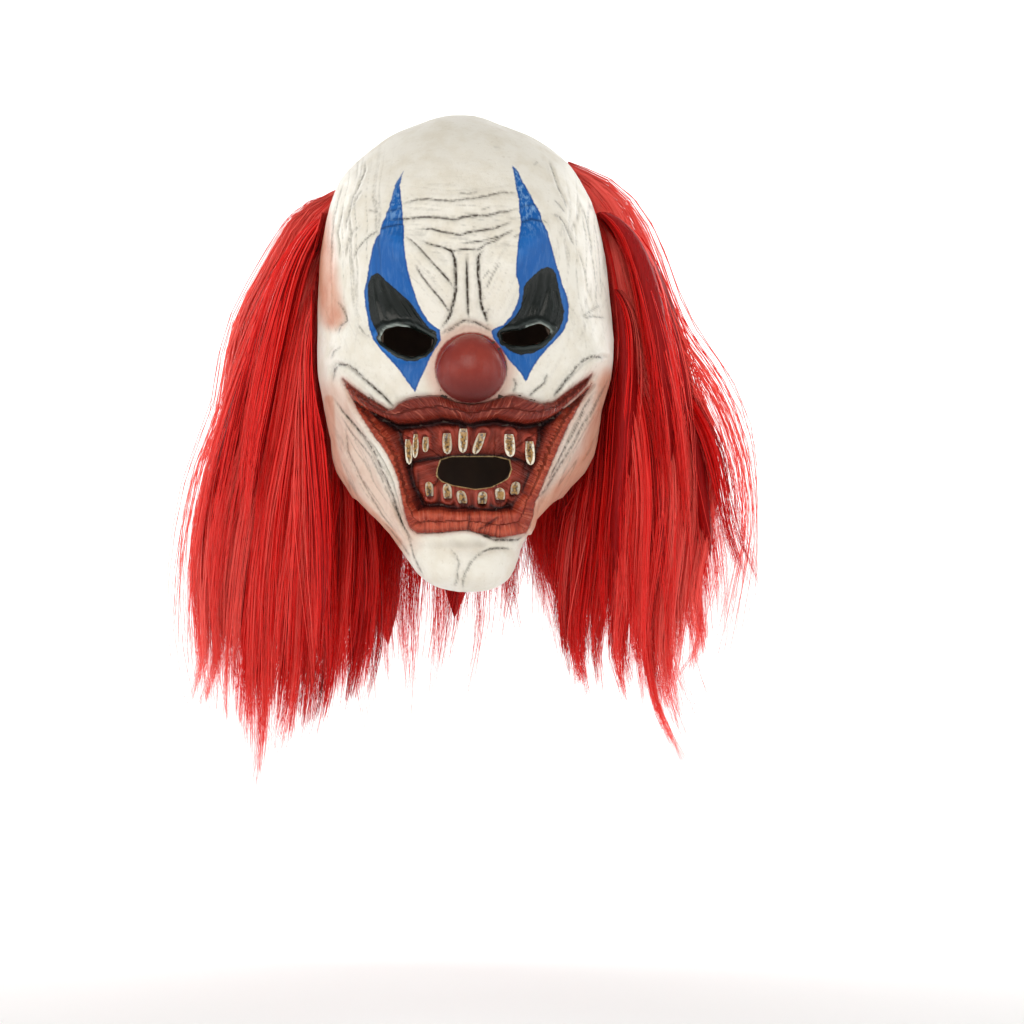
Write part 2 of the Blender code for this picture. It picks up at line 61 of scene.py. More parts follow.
# %% [markdown]
# ## The camera
# The photo was taken from straight ahead with a long lens. Knowing where the camera stands
# lets every mark seen in the photo be put on the surface: a point is projected to the
# picture, and asked which painted shape it falls in.

# %% The camera
PICTURE = 1024
SENSOR = 36.0
LENS = 131.1
PIXELS_PER_SLOPE = PICTURE * LENS / SENSOR
EYE = np.array([0.0260, -2.2900, -0.2395])

camera_data = bpy.data.cameras.new("camera")
camera_data.lens = LENS
camera_data.sensor_width = SENSOR
camera_data.clip_end = 50
camera = bpy.data.objects.new("camera", camera_data)
camera.location = EYE
camera.rotation_euler = (math.radians(90), 0, 0)
bpy.context.scene.collection.objects.link(camera)
bpy.context.scene.camera = camera
bpy.context.scene.view_settings.view_transform = "Standard"


def to_picture(points):
    """Where the camera sees points: pixels to the right and down."""
    away = points - EYE
    right = PICTURE / 2 + PIXELS_PER_SLOPE * away[..., 0] / away[..., 1]
    down = PICTURE / 2 - PIXELS_PER_SLOPE * away[..., 2] / away[..., 1]
    return right, down


def shift_in_picture(points, right, down):
    """Moves points sideways and down by so many pixels."""
    scale = (points[..., 1] - EYE[1]) / PIXELS_PER_SLOPE
    moved = points.copy()
    moved[..., 0] += right * scale
    moved[..., 2] -= down * scale
    return moved


def from_picture(right, down, depth):
    """The point that the camera sees at a pixel, at a depth along Y."""
    scale = (depth - EYE[1]) / PIXELS_PER_SLOPE
    return [EYE[0] + (right - PICTURE / 2) * scale, depth, EYE[2] - (down - PICTURE / 2) * scale]


# %% [markdown]
# ## The plain head
# A mask sculptor starts from a smooth head and adds clay. The head is a stack of rings from
# the crown to the rim, each with its own height at the front, side and back, its width and
# its depth. The table holds shares of the head's real sizes, and a curve runs through its rows.

# %% Sizes of the head in metres
MASK_HEIGHT = 0.288
HALF_WIDTH = 0.087
FRONT_REACH = 0.100
BACK_REACH = 0.105
WALL = 0.002
JAW_POWER = 3
SECTIONS = (
    # front  side   back   width  ahead  behind square
    (0.000, 0.000, 0.000, 0.000, 0.000, 0.000, 2.00),
    (0.006, 0.006, 0.006, 0.190, 0.130, 0.190, 2.00),
    (0.022, 0.022, 0.022, 0.380, 0.270, 0.370, 2.00),
    (0.046, 0.046, 0.046, 0.550, 0.420, 0.530, 2.00),
    (0.074, 0.074, 0.074, 0.680, 0.550, 0.660, 2.00),
    (0.108, 0.108, 0.108, 0.800, 0.675, 0.780, 2.00),
    (0.147, 0.147, 0.147, 0.880, 0.785, 0.860, 2.05),
    (0.200, 0.200, 0.200, 0.945, 0.885, 0.930, 2.10),
    (0.287, 0.287, 0.283, 0.985, 0.960, 0.985, 2.15),
    (0.382, 0.380, 0.370, 1.000, 0.980, 1.000, 2.20),
    (0.478, 0.468, 0.460, 1.000, 0.950, 0.990, 2.20),
    (0.559, 0.540, 0.545, 0.995, 0.965, 0.967, 2.20),
    (0.640, 0.606, 0.620, 0.968, 0.972, 0.933, 2.20),
    (0.713, 0.662, 0.680, 0.945, 0.972, 0.900, 2.15),
    (0.787, 0.710, 0.728, 0.915, 0.965, 0.876, 2.10),
    (0.860, 0.746, 0.764, 0.880, 0.972, 0.857, 2.10),
    (0.926, 0.772, 0.792, 0.845, 0.995, 0.843, 2.10),
    (0.970, 0.786, 0.808, 0.822, 0.970, 0.838, 2.10),
    (0.995, 0.796, 0.820, 0.805, 0.860, 0.834, 2.10),
    (0.992, 0.803, 0.828, 0.792, 0.700, 0.831, 2.10),
    (0.965, 0.808, 0.834, 0.782, 0.560, 0.829, 2.10),
)


def smooth_rows(table, at):
    """The table's columns at fractional row numbers, on a curve through its rows."""
    rows = np.array(table)
    padded = np.vstack([2 * rows[0] - rows[1], rows, 2 * rows[-1] - rows[-2]])
    at = np.clip(np.asarray(at, float), 0, len(rows) - 1)
    start = np.minimum(at.astype(int), len(rows) - 2)
    t = (at - start)[..., None]
    a, b, c, d = (padded[start + k] for k in range(4))
    return b + 0.5 * t * (c - a + t * (2 * a - 5 * b + 4 * c - d + t * (3 * (b - c) + d - a)))


def head_point(row, angle):
    """A point of the plain head, at a section number and an angle round from the front."""
    front, side, back, width, ahead, behind, square = np.moveaxis(smooth_rows(SECTIONS, row), -1, 0)
    across, along = np.sin(angle), np.cos(angle)
    power = 2 / square
    x = HALF_WIDTH * width * np.sign(across) * np.abs(across) ** power
    reach = np.where(along > 0, -FRONT_REACH * ahead, BACK_REACH * behind)
    y = reach * np.abs(along) ** power
    end = np.where(along > 0, front, back)
    turn = np.where(along > 0, np.abs(along) ** JAW_POWER, along**2)
    z = WALL - MASK_HEIGHT * (side + (end - side) * turn)
    return np.stack([x, y, z], -1)


def head_normal(row, angle):
    """The outward direction of the plain head."""
    step = 1e-3
    down = head_point(row + step, angle) - head_point(row - step, angle)
    around = head_point(row, angle + step) - head_point(row, angle - step)
    normal = np.cross(down, around)
    return normal / np.maximum(np.linalg.norm(normal, axis=-1, keepdims=True), 1e-12)


# %% [markdown]
# ## The head's outline
# A head is never quite even: this one's jaw hangs a little to one side. The outline measured
# in the photo is laid over the plain head's, and everything between them is stretched.

# %% The measured outline
OUTLINE = (
    # down, left, right
    (124, 417, 501), (136, 390, 531), (149, 371, 552), (165, 352, 570.5), (181, 339, 581), (202, 331, 592),
    (227, 325, 599), (260, 320, 606), (300, 318, 610), (340, 318, 613), (380, 319, 610), (410, 324, 602),
    (440, 330.5, 598), (456, 332, 594), (472, 336.5, 585.5), (487, 346, 571.5), (500, 356, 558), (511, 367, 545),
    (522, 379, 534.5), (533, 389, 529), (550, 401, 520), (563, 410, 515.5), (576, 421, 508.6),
)
CROWN_RISE = 0.0023
CROWN_FADE = 0.070


def raise_crown(points):
    moved = points.copy()
    moved[..., 2] += CROWN_RISE * smooth_step((points[..., 2] + CROWN_FADE) / CROWN_FADE)
    return moved


def smooth_step(t):
    t = np.clip(t, 0, 1)
    return t * t * (3 - 2 * t)


all_rows, all_angles = np.meshgrid(
    np.linspace(0.3, len(SECTIONS) - 1, 1600), np.linspace(-math.pi, math.pi, 181), indexing="ij")
plain_right, plain_down = to_picture(raise_crown(head_point(all_rows, all_angles)))
outline_down, outline_left, outline_right = np.array(OUTLINE).T
plain_band = [plain_right[np.abs(plain_down - level) < 0.9] for level in outline_down]
plain_left = np.array([band.min() for band in plain_band])
plain_edge = np.array([band.max() for band in plain_band])
print("plain outline less the measured one:", np.round(plain_left - outline_left), np.round(plain_edge - outline_right))


def fit_outline(points):
    """Stretches the plain head sideways until its outline is the measured one."""
    points = raise_crown(points)
    right, down = to_picture(points)
    from_left, from_right, to_left, to_right = (
        np.interp(down, outline_down, edge) for edge in (plain_left, plain_edge, outline_left, outline_right))
    share = (right - from_left) / (from_right - from_left)
    return shift_in_picture(points, to_left + share * (to_right - to_left) - right, 0)


# %% [markdown]
# ## Marks of the face
# Each painted shape is an outline, and each wrinkle a path, in picture pixels. The same
# shapes drive both the relief and the paint, so colour always sits in its own fold.

# %% Painted shapes
BLUE_LEFT = (
    (405, 169), (400, 176), (395, 185), (392, 196), (389, 207), (385, 217), (381, 226), (380, 233), (376, 238),
    (373, 246), (371, 255), (369, 265), (367, 279), (364, 291), (365, 303), (367, 315), (369, 328), (373, 340),
    (381, 350), (392, 362), (400, 371), (408, 383), (415, 392), (420, 380), (425, 370), (430, 358), (436, 348),
    (441, 340), (440, 330), (430, 323), (423, 313), (418, 303), (414, 291), (410, 279), (407, 265), (406, 260),
    (404, 243), (404, 230), (403, 217), (402, 206), (401, 195), (400, 185), (402, 175),
)
BLUE_RIGHT = (
    (512, 165), (514, 175), (516, 188), (519, 199), (519, 210), (521, 222), (520, 230), (518, 243), (517, 255),
    (516, 265), (516, 275), (519, 286), (519, 296), (516, 306), (511, 316), (503, 325), (493, 329), (491, 332),
    (493, 338), (501, 349), (509, 360), (517, 369), (522, 375), (526, 383), (532, 369), (538, 360), (547, 349),
    (555, 341), (563, 332), (568, 321), (569, 307), (567, 295), (563, 286), (560, 275), (556, 263), (553, 251),
    (550, 241), (548, 232), (544, 225), (542, 220), (540, 212), (534, 202), (529, 192), (523, 182), (518, 171),
)
BLACK_LEFT = (
    (377, 273), (371, 276), (368, 285), (368, 296), (369, 309), (371, 319), (375, 328), (378, 335), (379, 342),
    (385, 349), (396, 357), (406, 361), (417, 361), (427, 355), (434, 347), (437, 339), (436, 332), (429, 328),
    (422, 319), (415, 309), (409, 301), (400, 293), (392, 286), (385, 280), (380, 274),
)
BLACK_RIGHT = (
    (548, 267), (541, 269), (533, 276), (526, 283), (524, 287), (523, 295), (521, 307), (515, 317), (506, 325),
    (498, 331), (497, 336), (502, 344), (510, 351), (521, 355), (533, 353), (544, 347), (552, 339), (559, 330),
    (563, 320), (564, 311), (561, 299), (558, 286), (556, 274), (553, 269),
)
EYE_HOLES = (
    ((380, 338), (385, 329), (397, 326), (408, 327), (418, 331), (427, 335), (434, 340), (431, 348), (424, 354),
     (412, 357), (400, 354), (390, 348), (382, 342)),
    ((501, 333), (511, 331), (521, 330), (529, 326), (540, 323), (547, 327), (551, 330), (548, 337), (538, 344),
     (523, 346), (511, 345), (503, 342)),
)
MOUTH_HOLE = (
    (441, 460), (438, 468), (437, 476), (442, 481), (453, 485), (470, 488), (475, 489), (491, 487), (501, 482),
    (508, 478), (511, 469), (509, 460), (495, 457), (470, 457), (452, 457),
)
UPPER_LIP = (
    (343, 379), (354, 388), (367, 397), (379, 404), (388, 410), (394, 409), (398, 404), (408, 399), (418, 397),
    (430, 396), (441, 396), (455, 402), (470, 405), (487, 402), (504, 397), (513, 395), (526, 399), (542, 404),
    (554, 402), (564, 394), (575, 386), (592, 374), (586, 385), (577, 395), (567, 404), (554, 413), (542, 419),
    (526, 422), (511, 421), (496, 417), (480, 420), (470, 422), (458, 418), (443, 416), (427, 419), (412, 421),
    (398, 421), (385, 417), (371, 410), (359, 400),
)
LOWER_LIP = (
    (344, 383), (351, 396), (358, 411), (367, 425), (375, 437), (383, 447), (390, 459), (395, 470), (399, 482),
    (401, 494), (403, 505), (406, 519), (410, 528), (417, 533), (437, 533), (455, 531), (467, 530), (478, 533),
    (489, 536), (500, 538), (512, 536), (526, 533), (529, 527), (533, 516), (535, 502), (540, 492), (545, 479),
    (550, 467), (556, 453), (562, 439), (568, 426), (575, 413), (582, 400), (592, 383), (577, 398), (562, 411),
    (554, 423), (548, 436), (543, 447), (539, 461), (531, 474), (526, 483), (523, 492), (517, 500), (512, 510),
    (501, 512), (480, 511), (470, 512), (453, 512), (441, 510), (427, 510), (418, 511), (412, 502), (410, 492),
    (403, 469), (400, 455), (395, 446), (390, 436), (380, 424), (368, 409), (359, 400), (351, 388),
)
MOUTH = (
    (368, 409), (385, 417), (398, 421), (412, 421), (427, 419), (443, 416), (458, 418), (470, 422), (480, 420),
    (496, 417), (511, 421), (526, 422), (542, 419), (562, 411), (554, 423), (548, 436), (543, 447), (539, 461),
    (531, 474), (526, 483), (523, 492), (517, 500), (512, 510), (501, 512), (480, 511), (470, 512), (453, 512),
    (441, 510), (427, 510), (418, 511), (412, 502), (410, 492), (403, 469), (400, 455), (395, 446), (390, 436),
    (380, 424),
)
UPPER_GUM = ((404, 443), (430, 437), (470, 435), (505, 437), (533, 443))
LOWER_GUM = ((420, 478), (430, 493), (462, 500), (500, 498), (518, 482))
# Paths along which bare flesh colour shows: its half width in pixels and its strength. The bands down the jaws, widest
# on the right, are airbrushed flesh and partly painted shade.
FLESH = (
    (15, 1.00, ((318, 218), (320, 240), (323, 262), (326, 285), (330, 305), (333, 317))),
    (8, 0.85, ((329, 400), (331, 440), (338, 472), (346, 487), (356, 500), (367, 511), (390, 533), (397, 542))),
    (21, 0.95, ((612, 385), (607, 410), (601, 435), (595, 455), (583, 474), (567, 492), (549, 508), (538, 519))),
    (30, 0.50, ((335, 405), (340, 440), (350, 470), (362, 493), (378, 515), (394, 535))),
    (34, 0.45, ((606, 395), (600, 425), (590, 455), (574, 478), (556, 497), (542, 512))),
)
NOSE = {"centre": (471, 368), "half_width": 36.0, "half_height": 35.5}
TEETH = (
    # root        tip         width in pixels, how pale
    ((408, 439), (408, 465), 7, 0.9), ((415.5, 434), (415.5, 458), 6, 0.9), ((425, 437), (425, 453), 6.5, 0.6),
    ((447, 434), (447, 455), 9.5, 0.65), ((463, 429), (463, 453), 9.5, 0.8), ((483, 433), (475, 454), 9, 0.7),
    ((509, 434), (511, 457), 10.5, 1.0), ((529, 441), (532, 465), 9.5, 1.0),
    ((430, 496), (428, 481), 8.5, 0.45), ((448, 498), (447, 484), 9, 0.60), ((463, 503), (461, 491), 10, 0.60),
    ((482, 503), (483, 491), 10, 0.55), ((500, 500), (499, 488), 10, 0.65), ((514, 494), (516, 481), 9.5, 0.5),
)
# Paths on the upper lids where a pale highlight is painted on the black.
LID_HIGHLIGHTS = (((380, 339), (383, 331), (388, 327), (397, 325), (408, 327)), ((527, 327), (540, 323), (548, 327), (551, 331)))

# %% Wrinkles
# Each path has a depth in millimetres, a half width in pixels and how dark its line of grime and painted shade is.
WRINKLES = (
    (0.9, 1.9, 0.80, ((402, 204), (416, 200), (426, 199), (438, 200), (450, 201), (475, 198), (491, 195), (501, 192), (516, 193))),
    (0.6, 1.5, 0.60, ((459, 193), (469, 194), (478, 191))),
    (0.5, 1.5, 0.50, ((481, 210), (490, 207))),
    (1.0, 2.0, 0.90, ((390, 220), (402, 219), (427, 217), (441, 218), (456, 220), (463, 217), (473, 216), (489, 215),
                      (499, 212), (506, 212), (514, 209), (518, 209))),
    (1.1, 2.0, 0.95, ((416, 229), (432, 229), (443, 232), (453, 234), (461, 235), (470, 232), (491, 229), (501, 226), (511, 222))),
    (0.9, 1.7, 0.80, ((460, 243), (475, 242), (482, 241), (501, 236), (513, 230))),
    (1.0, 1.8, 0.90, ((422, 241), (432, 245), (443, 247), (452, 252), (458, 250), (465, 249), (478, 250), (486, 244),
                      (495, 241), (503, 236))),
    (1.6, 2.4, 1.00, ((444, 249), (451, 250), (455, 260), (456, 275), (456, 291), (453, 304), (450, 315), (447, 321), (441, 329))),
    (1.0, 1.8, 0.80, ((467, 258), (467, 281), (468, 301), (468, 319))),
    (1.6, 2.4, 1.00, ((484, 249), (479, 255), (478, 260), (478, 275), (480, 291), (481, 304), (485, 315), (488, 326))),
    (1.1, 2.0, 0.85, ((406, 237), (412, 241), (418, 246), (423, 252), (432, 262), (442, 273), (450, 282), (453, 288))),
    (1.1, 2.0, 0.85, ((415, 264), (422, 276), (431, 288), (440, 298), (446, 307), (451, 315))),
    (0.7, 1.6, 0.60, ((489, 270), (483, 279))),
    (0.7, 1.6, 0.60, ((485, 295), (483, 300))),
    (0.8, 1.6, 0.60, ((500, 262), (492, 276), (486, 290))),
    (0.8, 1.6, 0.70, ((490, 308), (486, 313))),
    (0.7, 1.6, 0.60, ((519, 234), (514, 238))),
    (0.8, 1.6, 0.70, ((380, 229), (391, 226), (404, 224))),
    (0.6, 1.5, 0.50, ((386, 212), (402, 208))),
    (0.8, 1.6, 0.70, ((520, 223), (531, 219), (544, 222))),
    (0.5, 1.5, 0.50, ((519, 207), (536, 204))),
    (1.3, 2.2, 0.90, ((441, 334), (453, 328), (463, 321), (466, 321), (475, 322), (486, 328), (493, 331))),
    (0.8, 1.6, 0.65, ((365, 161), (365, 171), (359, 186), (353, 198), (350, 210), (347, 220), (346, 231))),
    (0.6, 1.4, 0.55, ((362, 190), (356, 200), (351, 211))),
    (0.8, 1.6, 0.65, ((343, 184), (338, 202), (334, 219), (332, 238), (332, 260))),
    (0.7, 1.5, 0.60, ((344, 205), (341, 219), (338, 233), (340, 245), (340, 260))),
    (0.7, 1.5, 0.60, ((361, 225), (354, 231), (349, 238), (347, 248), (346, 256))),
    (0.9, 1.7, 0.75, ((380, 230), (371, 235), (363, 242), (356, 251), (354, 259))),
    (0.5, 1.4, 0.50, ((368, 210), (379, 212))),
    (0.5, 1.4, 0.50, ((372, 196), (380, 206))),
    (0.8, 1.6, 0.65, ((549, 161), (553, 173), (558, 188), (564, 200), (567, 209))),
    (0.6, 1.4, 0.60, ((554, 200), (559, 205), (565, 213))),
    (0.8, 1.6, 0.70, ((552, 214), (559, 217), (565, 225), (569, 236), (574, 245))),
    (0.5, 1.4, 0.50, ((543, 220), (549, 224))),
    (0.4, 1.3, 0.45, ((533, 165), (538, 162))),
    (0.8, 1.6, 0.60, ((582, 207), (586, 219), (589, 233), (592, 253))),
    (0.5, 1.3, 0.50, ((594, 222), (598, 245), (600, 268), (601, 290))),
    (0.5, 1.3, 0.50, ((588, 240), (593, 262), (596, 285), (596, 306))),
    (0.5, 1.3, 0.45, ((578, 250), (584, 268), (588, 288))),
    (0.4, 1.3, 0.35, ((494, 147), (500, 147))),
    (0.9, 1.7, 0.70, ((337, 301), (344, 310), (348, 321), (341, 326), (338, 334))),
    (0.8, 1.6, 0.70, ((358, 325), (364, 333), (370, 337))),
    (0.8, 1.6, 0.65, ((582, 317), (592, 310), (600, 305))),
    (0.8, 1.6, 0.65, ((584, 319), (592, 316), (604, 318))),
    (1.0, 1.8, 0.70, ((341, 347), (334, 351), (331, 359))),
    (1.7, 2.4, 0.95, ((333, 381), (335, 369), (341, 364), (348, 365), (356, 370), (367, 381), (375, 388), (383, 395), (394, 407))),
    (0.8, 1.6, 0.60, ((370, 393), (375, 403))),
    (1.7, 2.4, 0.95, ((602, 361), (603, 358), (593, 356), (584, 360), (577, 366), (571, 374), (564, 382), (560, 388), (552, 398))),
    (1.3, 2.0, 0.85, ((547, 374), (544, 383), (535, 390), (529, 396))),
    (1.0, 1.8, 0.80, ((514, 378), (516, 385), (513, 392))),
    (1.8, 2.4, 0.90, ((335, 400), (344, 413), (351, 421), (365, 437), (375, 453), (383, 472), (392, 492), (402, 523), (412, 540))),
    (1.6, 2.4, 0.85, ((608, 380), (601, 393), (592, 412), (582, 426), (572, 446), (562, 462), (552, 478), (545, 490), (535, 502))),
    (1.3, 1.8, 0.90, ((594, 393), (585, 406), (578, 423), (570, 439), (562, 453), (554, 469), (547, 483))),
    (0.9, 1.8, 0.60, ((341, 416), (353, 435), (363, 446), (371, 456), (381, 477), (392, 502), (402, 523))),
    (0.9, 1.8, 0.60, ((346, 427), (348, 451), (356, 467), (363, 482), (373, 500), (383, 516), (397, 533))),
    (0.9, 1.7, 0.70, ((451, 550), (457, 556), (459, 564), (458, 571), (457, 580), (454, 586))),
    (1.0, 1.8, 0.75, ((512, 549), (500, 548), (489, 549), (479, 554), (471, 562), (466, 571), (463, 580), (463, 588))),
    (1.2, 1.8, 0.90, ((479, 534), (495, 540), (506, 540), (517, 540), (522, 537))),
    (1.0, 1.8, 0.70, ((393, 500), (401, 521), (409, 538), (414, 557), (424, 577))),
    (0.9, 1.8, 0.60, ((385, 523), (397, 538), (411, 557))),
    (1.2, 1.8, 0.80, ((499, 516), (488, 524), (477, 531))),
    (1.2, 1.8, 0.80, ((469, 512), (469, 521), (468, 531))),
    (1.0, 1.8, 0.85, ((418, 469), (418, 492), (424, 506), (443, 505), (453, 508), (470, 508), (491, 510), (511, 506), (520, 492))),
)
MOUTH_CREASES = (
    (2.0, 3.2, 1.00, ((404, 467), (414, 462), (428, 459), (441, 458), (470, 455), (505, 457), (520, 460), (532, 466))),
    (1.6, 3.0, 0.90, ((398, 425), (404, 446), (409, 470), (416, 495))),
    (1.6, 3.0, 0.90, ((546, 424), (538, 446), (530, 470), (521, 494))),
    (1.5, 4.0, 1.00, ((372, 410), (385, 419), (398, 426), (415, 426), (443, 421), (470, 425), (497, 421), (525, 426),
                      (545, 423), (560, 413))),
    (0.8, 2.6, 0.80, ((458, 404), (464, 408), (470, 414), (476, 408), (482, 404))),
)
# Long folds down the black patches over the eyes, whose crests are painted with grey glints.
SOCKET_FOLDS = (
    ((374, 281), (376, 300), (382, 318), (390, 326)), ((382, 283), (386, 300), (394, 316), (402, 325)),
    ((391, 291), (397, 304), (406, 318), (414, 327)), ((402, 301), (410, 314), (420, 326), (430, 332)),
    ((550, 275), (551, 290), (547, 306), (541, 319)), ((541, 275), (541, 290), (536, 306), (528, 321)),
    ((532, 284), (531, 298), (525, 312), (516, 325)), ((558, 292), (559, 305), (556, 317), (551, 325)),
    ((390, 352), (402, 358), (416, 358)), ((512, 348), (524, 351), (538, 348)),
)

# %% [markdown]
# ## Distances
# The distance from a point to an outline, counted inwards, is all that both jobs need: it
# rounds off a lip's edge, and it draws a paint edge crisply between the mesh's points.

# %% Distances in the picture


def nearest_on_path(right, down, path):
    """For each place, the distance to a path, the way along it, and the nearest point on it."""
    path = np.array(path, float)
    runs = path[1:] - path[:-1]
    lengths = np.hypot(runs[:, 0], runs[:, 1])
    starts = np.concatenate([[0], np.cumsum(lengths)])
    best = np.full(right.shape, 1e9)
    along = np.zeros(right.shape)
    near_right, near_down = right.copy(), down.copy()
    for (right_0, down_0), run, length, start in zip(path, runs, lengths, starts):
        share = np.clip(((right - right_0) * run[0] + (down - down_0) * run[1]) / max(length**2, 1e-9), 0, 1)
        at_right, at_down = right_0 + share * run[0], down_0 + share * run[1]
        distance = np.hypot(right - at_right, down - at_down)
        closer = distance < best
        best = np.where(closer, distance, best)
        along = np.where(closer, start + share * length, along)
        near_right = np.where(closer, at_right, near_right)
        near_down = np.where(closer, at_down, near_down)
    return best, along, near_right, near_down


def depth_inside(right, down, outline):
    """The distance to a closed outline: positive inside it, negative outside."""
    closed = list(outline) + [outline[0]]
    distance = nearest_on_path(right, down, closed)[0]
    found = np.zeros(right.shape, bool)
    for (right_0, down_0), (right_1, down_1) in zip(closed, closed[1:]):
        if down_0 == down_1:
            continue
        crosses = (down_0 > down) != (down_1 > down)
        found ^= crosses & (right < right_0 + (down - down_0) * (right_1 - right_0) / (down_1 - down_0))
    return np.where(found, distance, -distance)


def hump(right, down, centre, half_sizes, lean=0):
    """A soft swelling: 1 at its centre, falling off over its half sizes. The lean is in degrees."""
    turn = math.radians(lean)
    run, fall = right - centre[0], down - centre[1]
    across = (run * math.cos(turn) + fall * math.sin(turn)) / half_sizes[0]
    along = (fall * math.cos(turn) - run * math.sin(turn)) / half_sizes[1]
    return np.exp(-(across**2) - along**2)


def waver(seed, *coordinates):
    """A soft random wave of a few sines, between about -1 and 1."""
    random = np.random.default_rng(seed)
    total = np.zeros(np.shape(coordinates[0]))
    for octave in (1.0, 1.7, 2.9, 4.3):
        phase = random.uniform(0, 2 * math.pi)
        for coordinate in coordinates:
            phase = phase + coordinate * octave * random.uniform(0.6, 1.4) * random.choice((-1, 1))
        total += np.sin(phase) / octave
    return total / 2.1


# %% [markdown]
# ## Relief
# The clay: brows that frown, sunk eye sockets, round cheek apples, a ball nose, thick lips
# with a sunk mouth between them, gums, and all the folds. Each is a height along the surface.

# %% Swellings and hollows
SWELLINGS = (
    # centre      half sizes lean lift in millimetres
    ((420, 262), (13, 36), -42, 4.5), ((511, 258), (13, 36), 40, 4.5),
    ((398, 248), (16, 22), -10, 2.0), ((535, 243), (16, 22), 10, 2.0),
    ((461, 285), (4.5, 30), 0, 2.2), ((473, 285), (4.5, 30), 0, 2.2),
    ((402, 318), (17, 36), -35, -7.0), ((533, 308), (17, 36), 33, -7.0),
    ((362, 350), (30, 26), 0, 6.0), ((590, 352), (24, 30), 0, 6.0),
    ((445, 368), (16, 34), 12, 1.5), ((497, 368), (16, 34), -12, 1.5),
    ((470, 450), (95, 75), 0, 5.0), ((470, 568), (46, 24), 0, 5.0), ((470, 545), (60, 8), 0, -2.5),
    ((440, 574), (14, 14), 0, 1.5), ((489, 572), (16, 14), 0, 1.5),
    ((372, 470), (10, 60), -24, -2.0), ((585, 450), (10, 60), 26, -2.0),
    ((360, 408), (9, 30), -33, 2.5), ((385, 455), (8, 40), -26, 3.0), ((583, 420), (8, 36), 28, 3.0),
    ((430, 210), (60, 8), 0, 0.8), ((500, 203), (60, 7), 0, 0.8), ((465, 226), (60, 5), 0, 0.8),
    ((345, 290), (14, 40), 0, -2.0), ((598, 290), (12, 40), 0, -2.0),
)
LIP_LIFT = 5.0
LIP_EDGE = 8.0
MOUTH_SINK = 8.0
GUM_LIFT = 4.0
MILLIMETRE = 0.001


def face_relief(right, down):
    """How far the surface stands out of the plain head, in metres."""
    lift = np.zeros(right.shape)
    for centre, half_sizes, lean, height in SWELLINGS:
        lift += height * hump(right, down, centre, half_sizes, lean)
    for outline, seed in ((UPPER_LIP, 1), (LOWER_LIP, 2)):
        depth = depth_inside(right, down, outline)
        along = nearest_on_path(right, down, list(outline) + [outline[0]])[1]
        edge = np.clip(depth / LIP_EDGE, 0, 1)
        pillow = np.sqrt(np.maximum(1 - (1 - edge) ** 2, 0))
        grooves = np.abs(np.sin(along * 0.24 + 2.0 * waver(seed, along * 0.05, depth * 0.15)))
        lift += LIP_LIFT * pillow + 0.9 * edge * (grooves - 0.5)
        lift -= 0.5 * np.exp(-(((depth + 1) / 2.0) ** 2))
    mouth = depth_inside(right, down, MOUTH)
    sunk = smooth_step(mouth / 7.0)
    lift -= MOUTH_SINK * sunk
    for gum in (UPPER_GUM, LOWER_GUM):
        away, along = nearest_on_path(right, down, gum)[:2]
        bumps = 0.8 + 0.2 * np.abs(np.sin(along * 0.22))
        lift += GUM_LIFT * sunk * bumps * np.exp(-((away / 13.0) ** 4))
    for root, tip, width, _ in TEETH:
        away, along = nearest_on_path(right, down, (root, tip))[:2]
        collar = np.exp(-(((away - width / 2 - 1.2) / 1.9) ** 2)) * (1 - smooth_step(along / 18.0))
        lift += 1.5 * sunk * collar
    for folds in SOCKET_FOLDS:
        away = nearest_on_path(right, down, folds)[0]
        lift -= 1.0 * np.exp(-((away / 1.8) ** 2)) - 0.7 * np.exp(-((away / 4.0) ** 2))
    for hole in EYE_HOLES:
        rim = depth_inside(right, down, hole)
        lift += 1.8 * np.exp(-(((rim + 3.0) / 2.6) ** 2))
    for depth, half_width, _, path in WRINKLES + MOUTH_CREASES:
        away, along = nearest_on_path(right, down, path)[:2]
        length = along.max()
        taper = smooth_step(np.minimum(along, length - along) / (0.2 * length + 1e-6) + 0.25)
        groove = -1.1 * np.exp(-((away / half_width) ** 2)) + 0.75 * np.exp(-((away / (2.8 * half_width)) ** 2))
        lift += depth * taper * groove
    lift += 0.35 * waver(5, right * 0.045, down * 0.05) + 0.12 * waver(6, right * 0.16, down * 0.17)
    lips = np.maximum(depth_inside(right, down, UPPER_LIP), depth_inside(right, down, LOWER_LIP))
    plain_skin = smooth_step((-np.maximum(lips, mouth) - 1) / 4)
    lift -= 0.55 * plain_skin * fine_wrinkles(right, down)
    return lift * MILLIMETRE


FINE_WRINKLES = (
    # centre      half sizes  lean of the folds   depth
    ((356, 235), (36, 80), 0.10, 1.0), ((590, 235), (32, 85), -0.10, 1.0),
    ((366, 480), (42, 75), -0.57, 0.9), ((572, 455), (42, 75), 0.60, 0.9),
    ((432, 278), (22, 34), -0.75, 0.6), ((497, 280), (20, 34), 0.50, 0.6),
    ((345, 320), (22, 26), -0.4, 0.5), ((596, 318), (18, 26), 0.4, 0.5),
)


def fine_wrinkles(right, down):
    """Thin folds of skin, from 0 to about 1: upright at the temples, slanted down the jaw."""
    total = np.zeros(right.shape)
    for number, (centre, half_sizes, lean, depth) in enumerate(FINE_WRINKLES):
        area = hump(right, down, centre, half_sizes)
        across = right + lean * (down - centre[1]) + 5 * waver(30 + number, right * 0.02, down * 0.025)
        folds = np.abs(waver(40 + number, across * 0.24, down * 0.022))
        total += depth * area * np.exp(-((folds / 0.11) ** 2))
    level = np.abs(waver(60, right * 0.025, (down + 4 * waver(61, right * 0.03)) * 0.24))
    total += 0.7 * hump(right, down, (460, 222), (62, 38)) * np.exp(-((level / 0.11) ** 2))
    return total


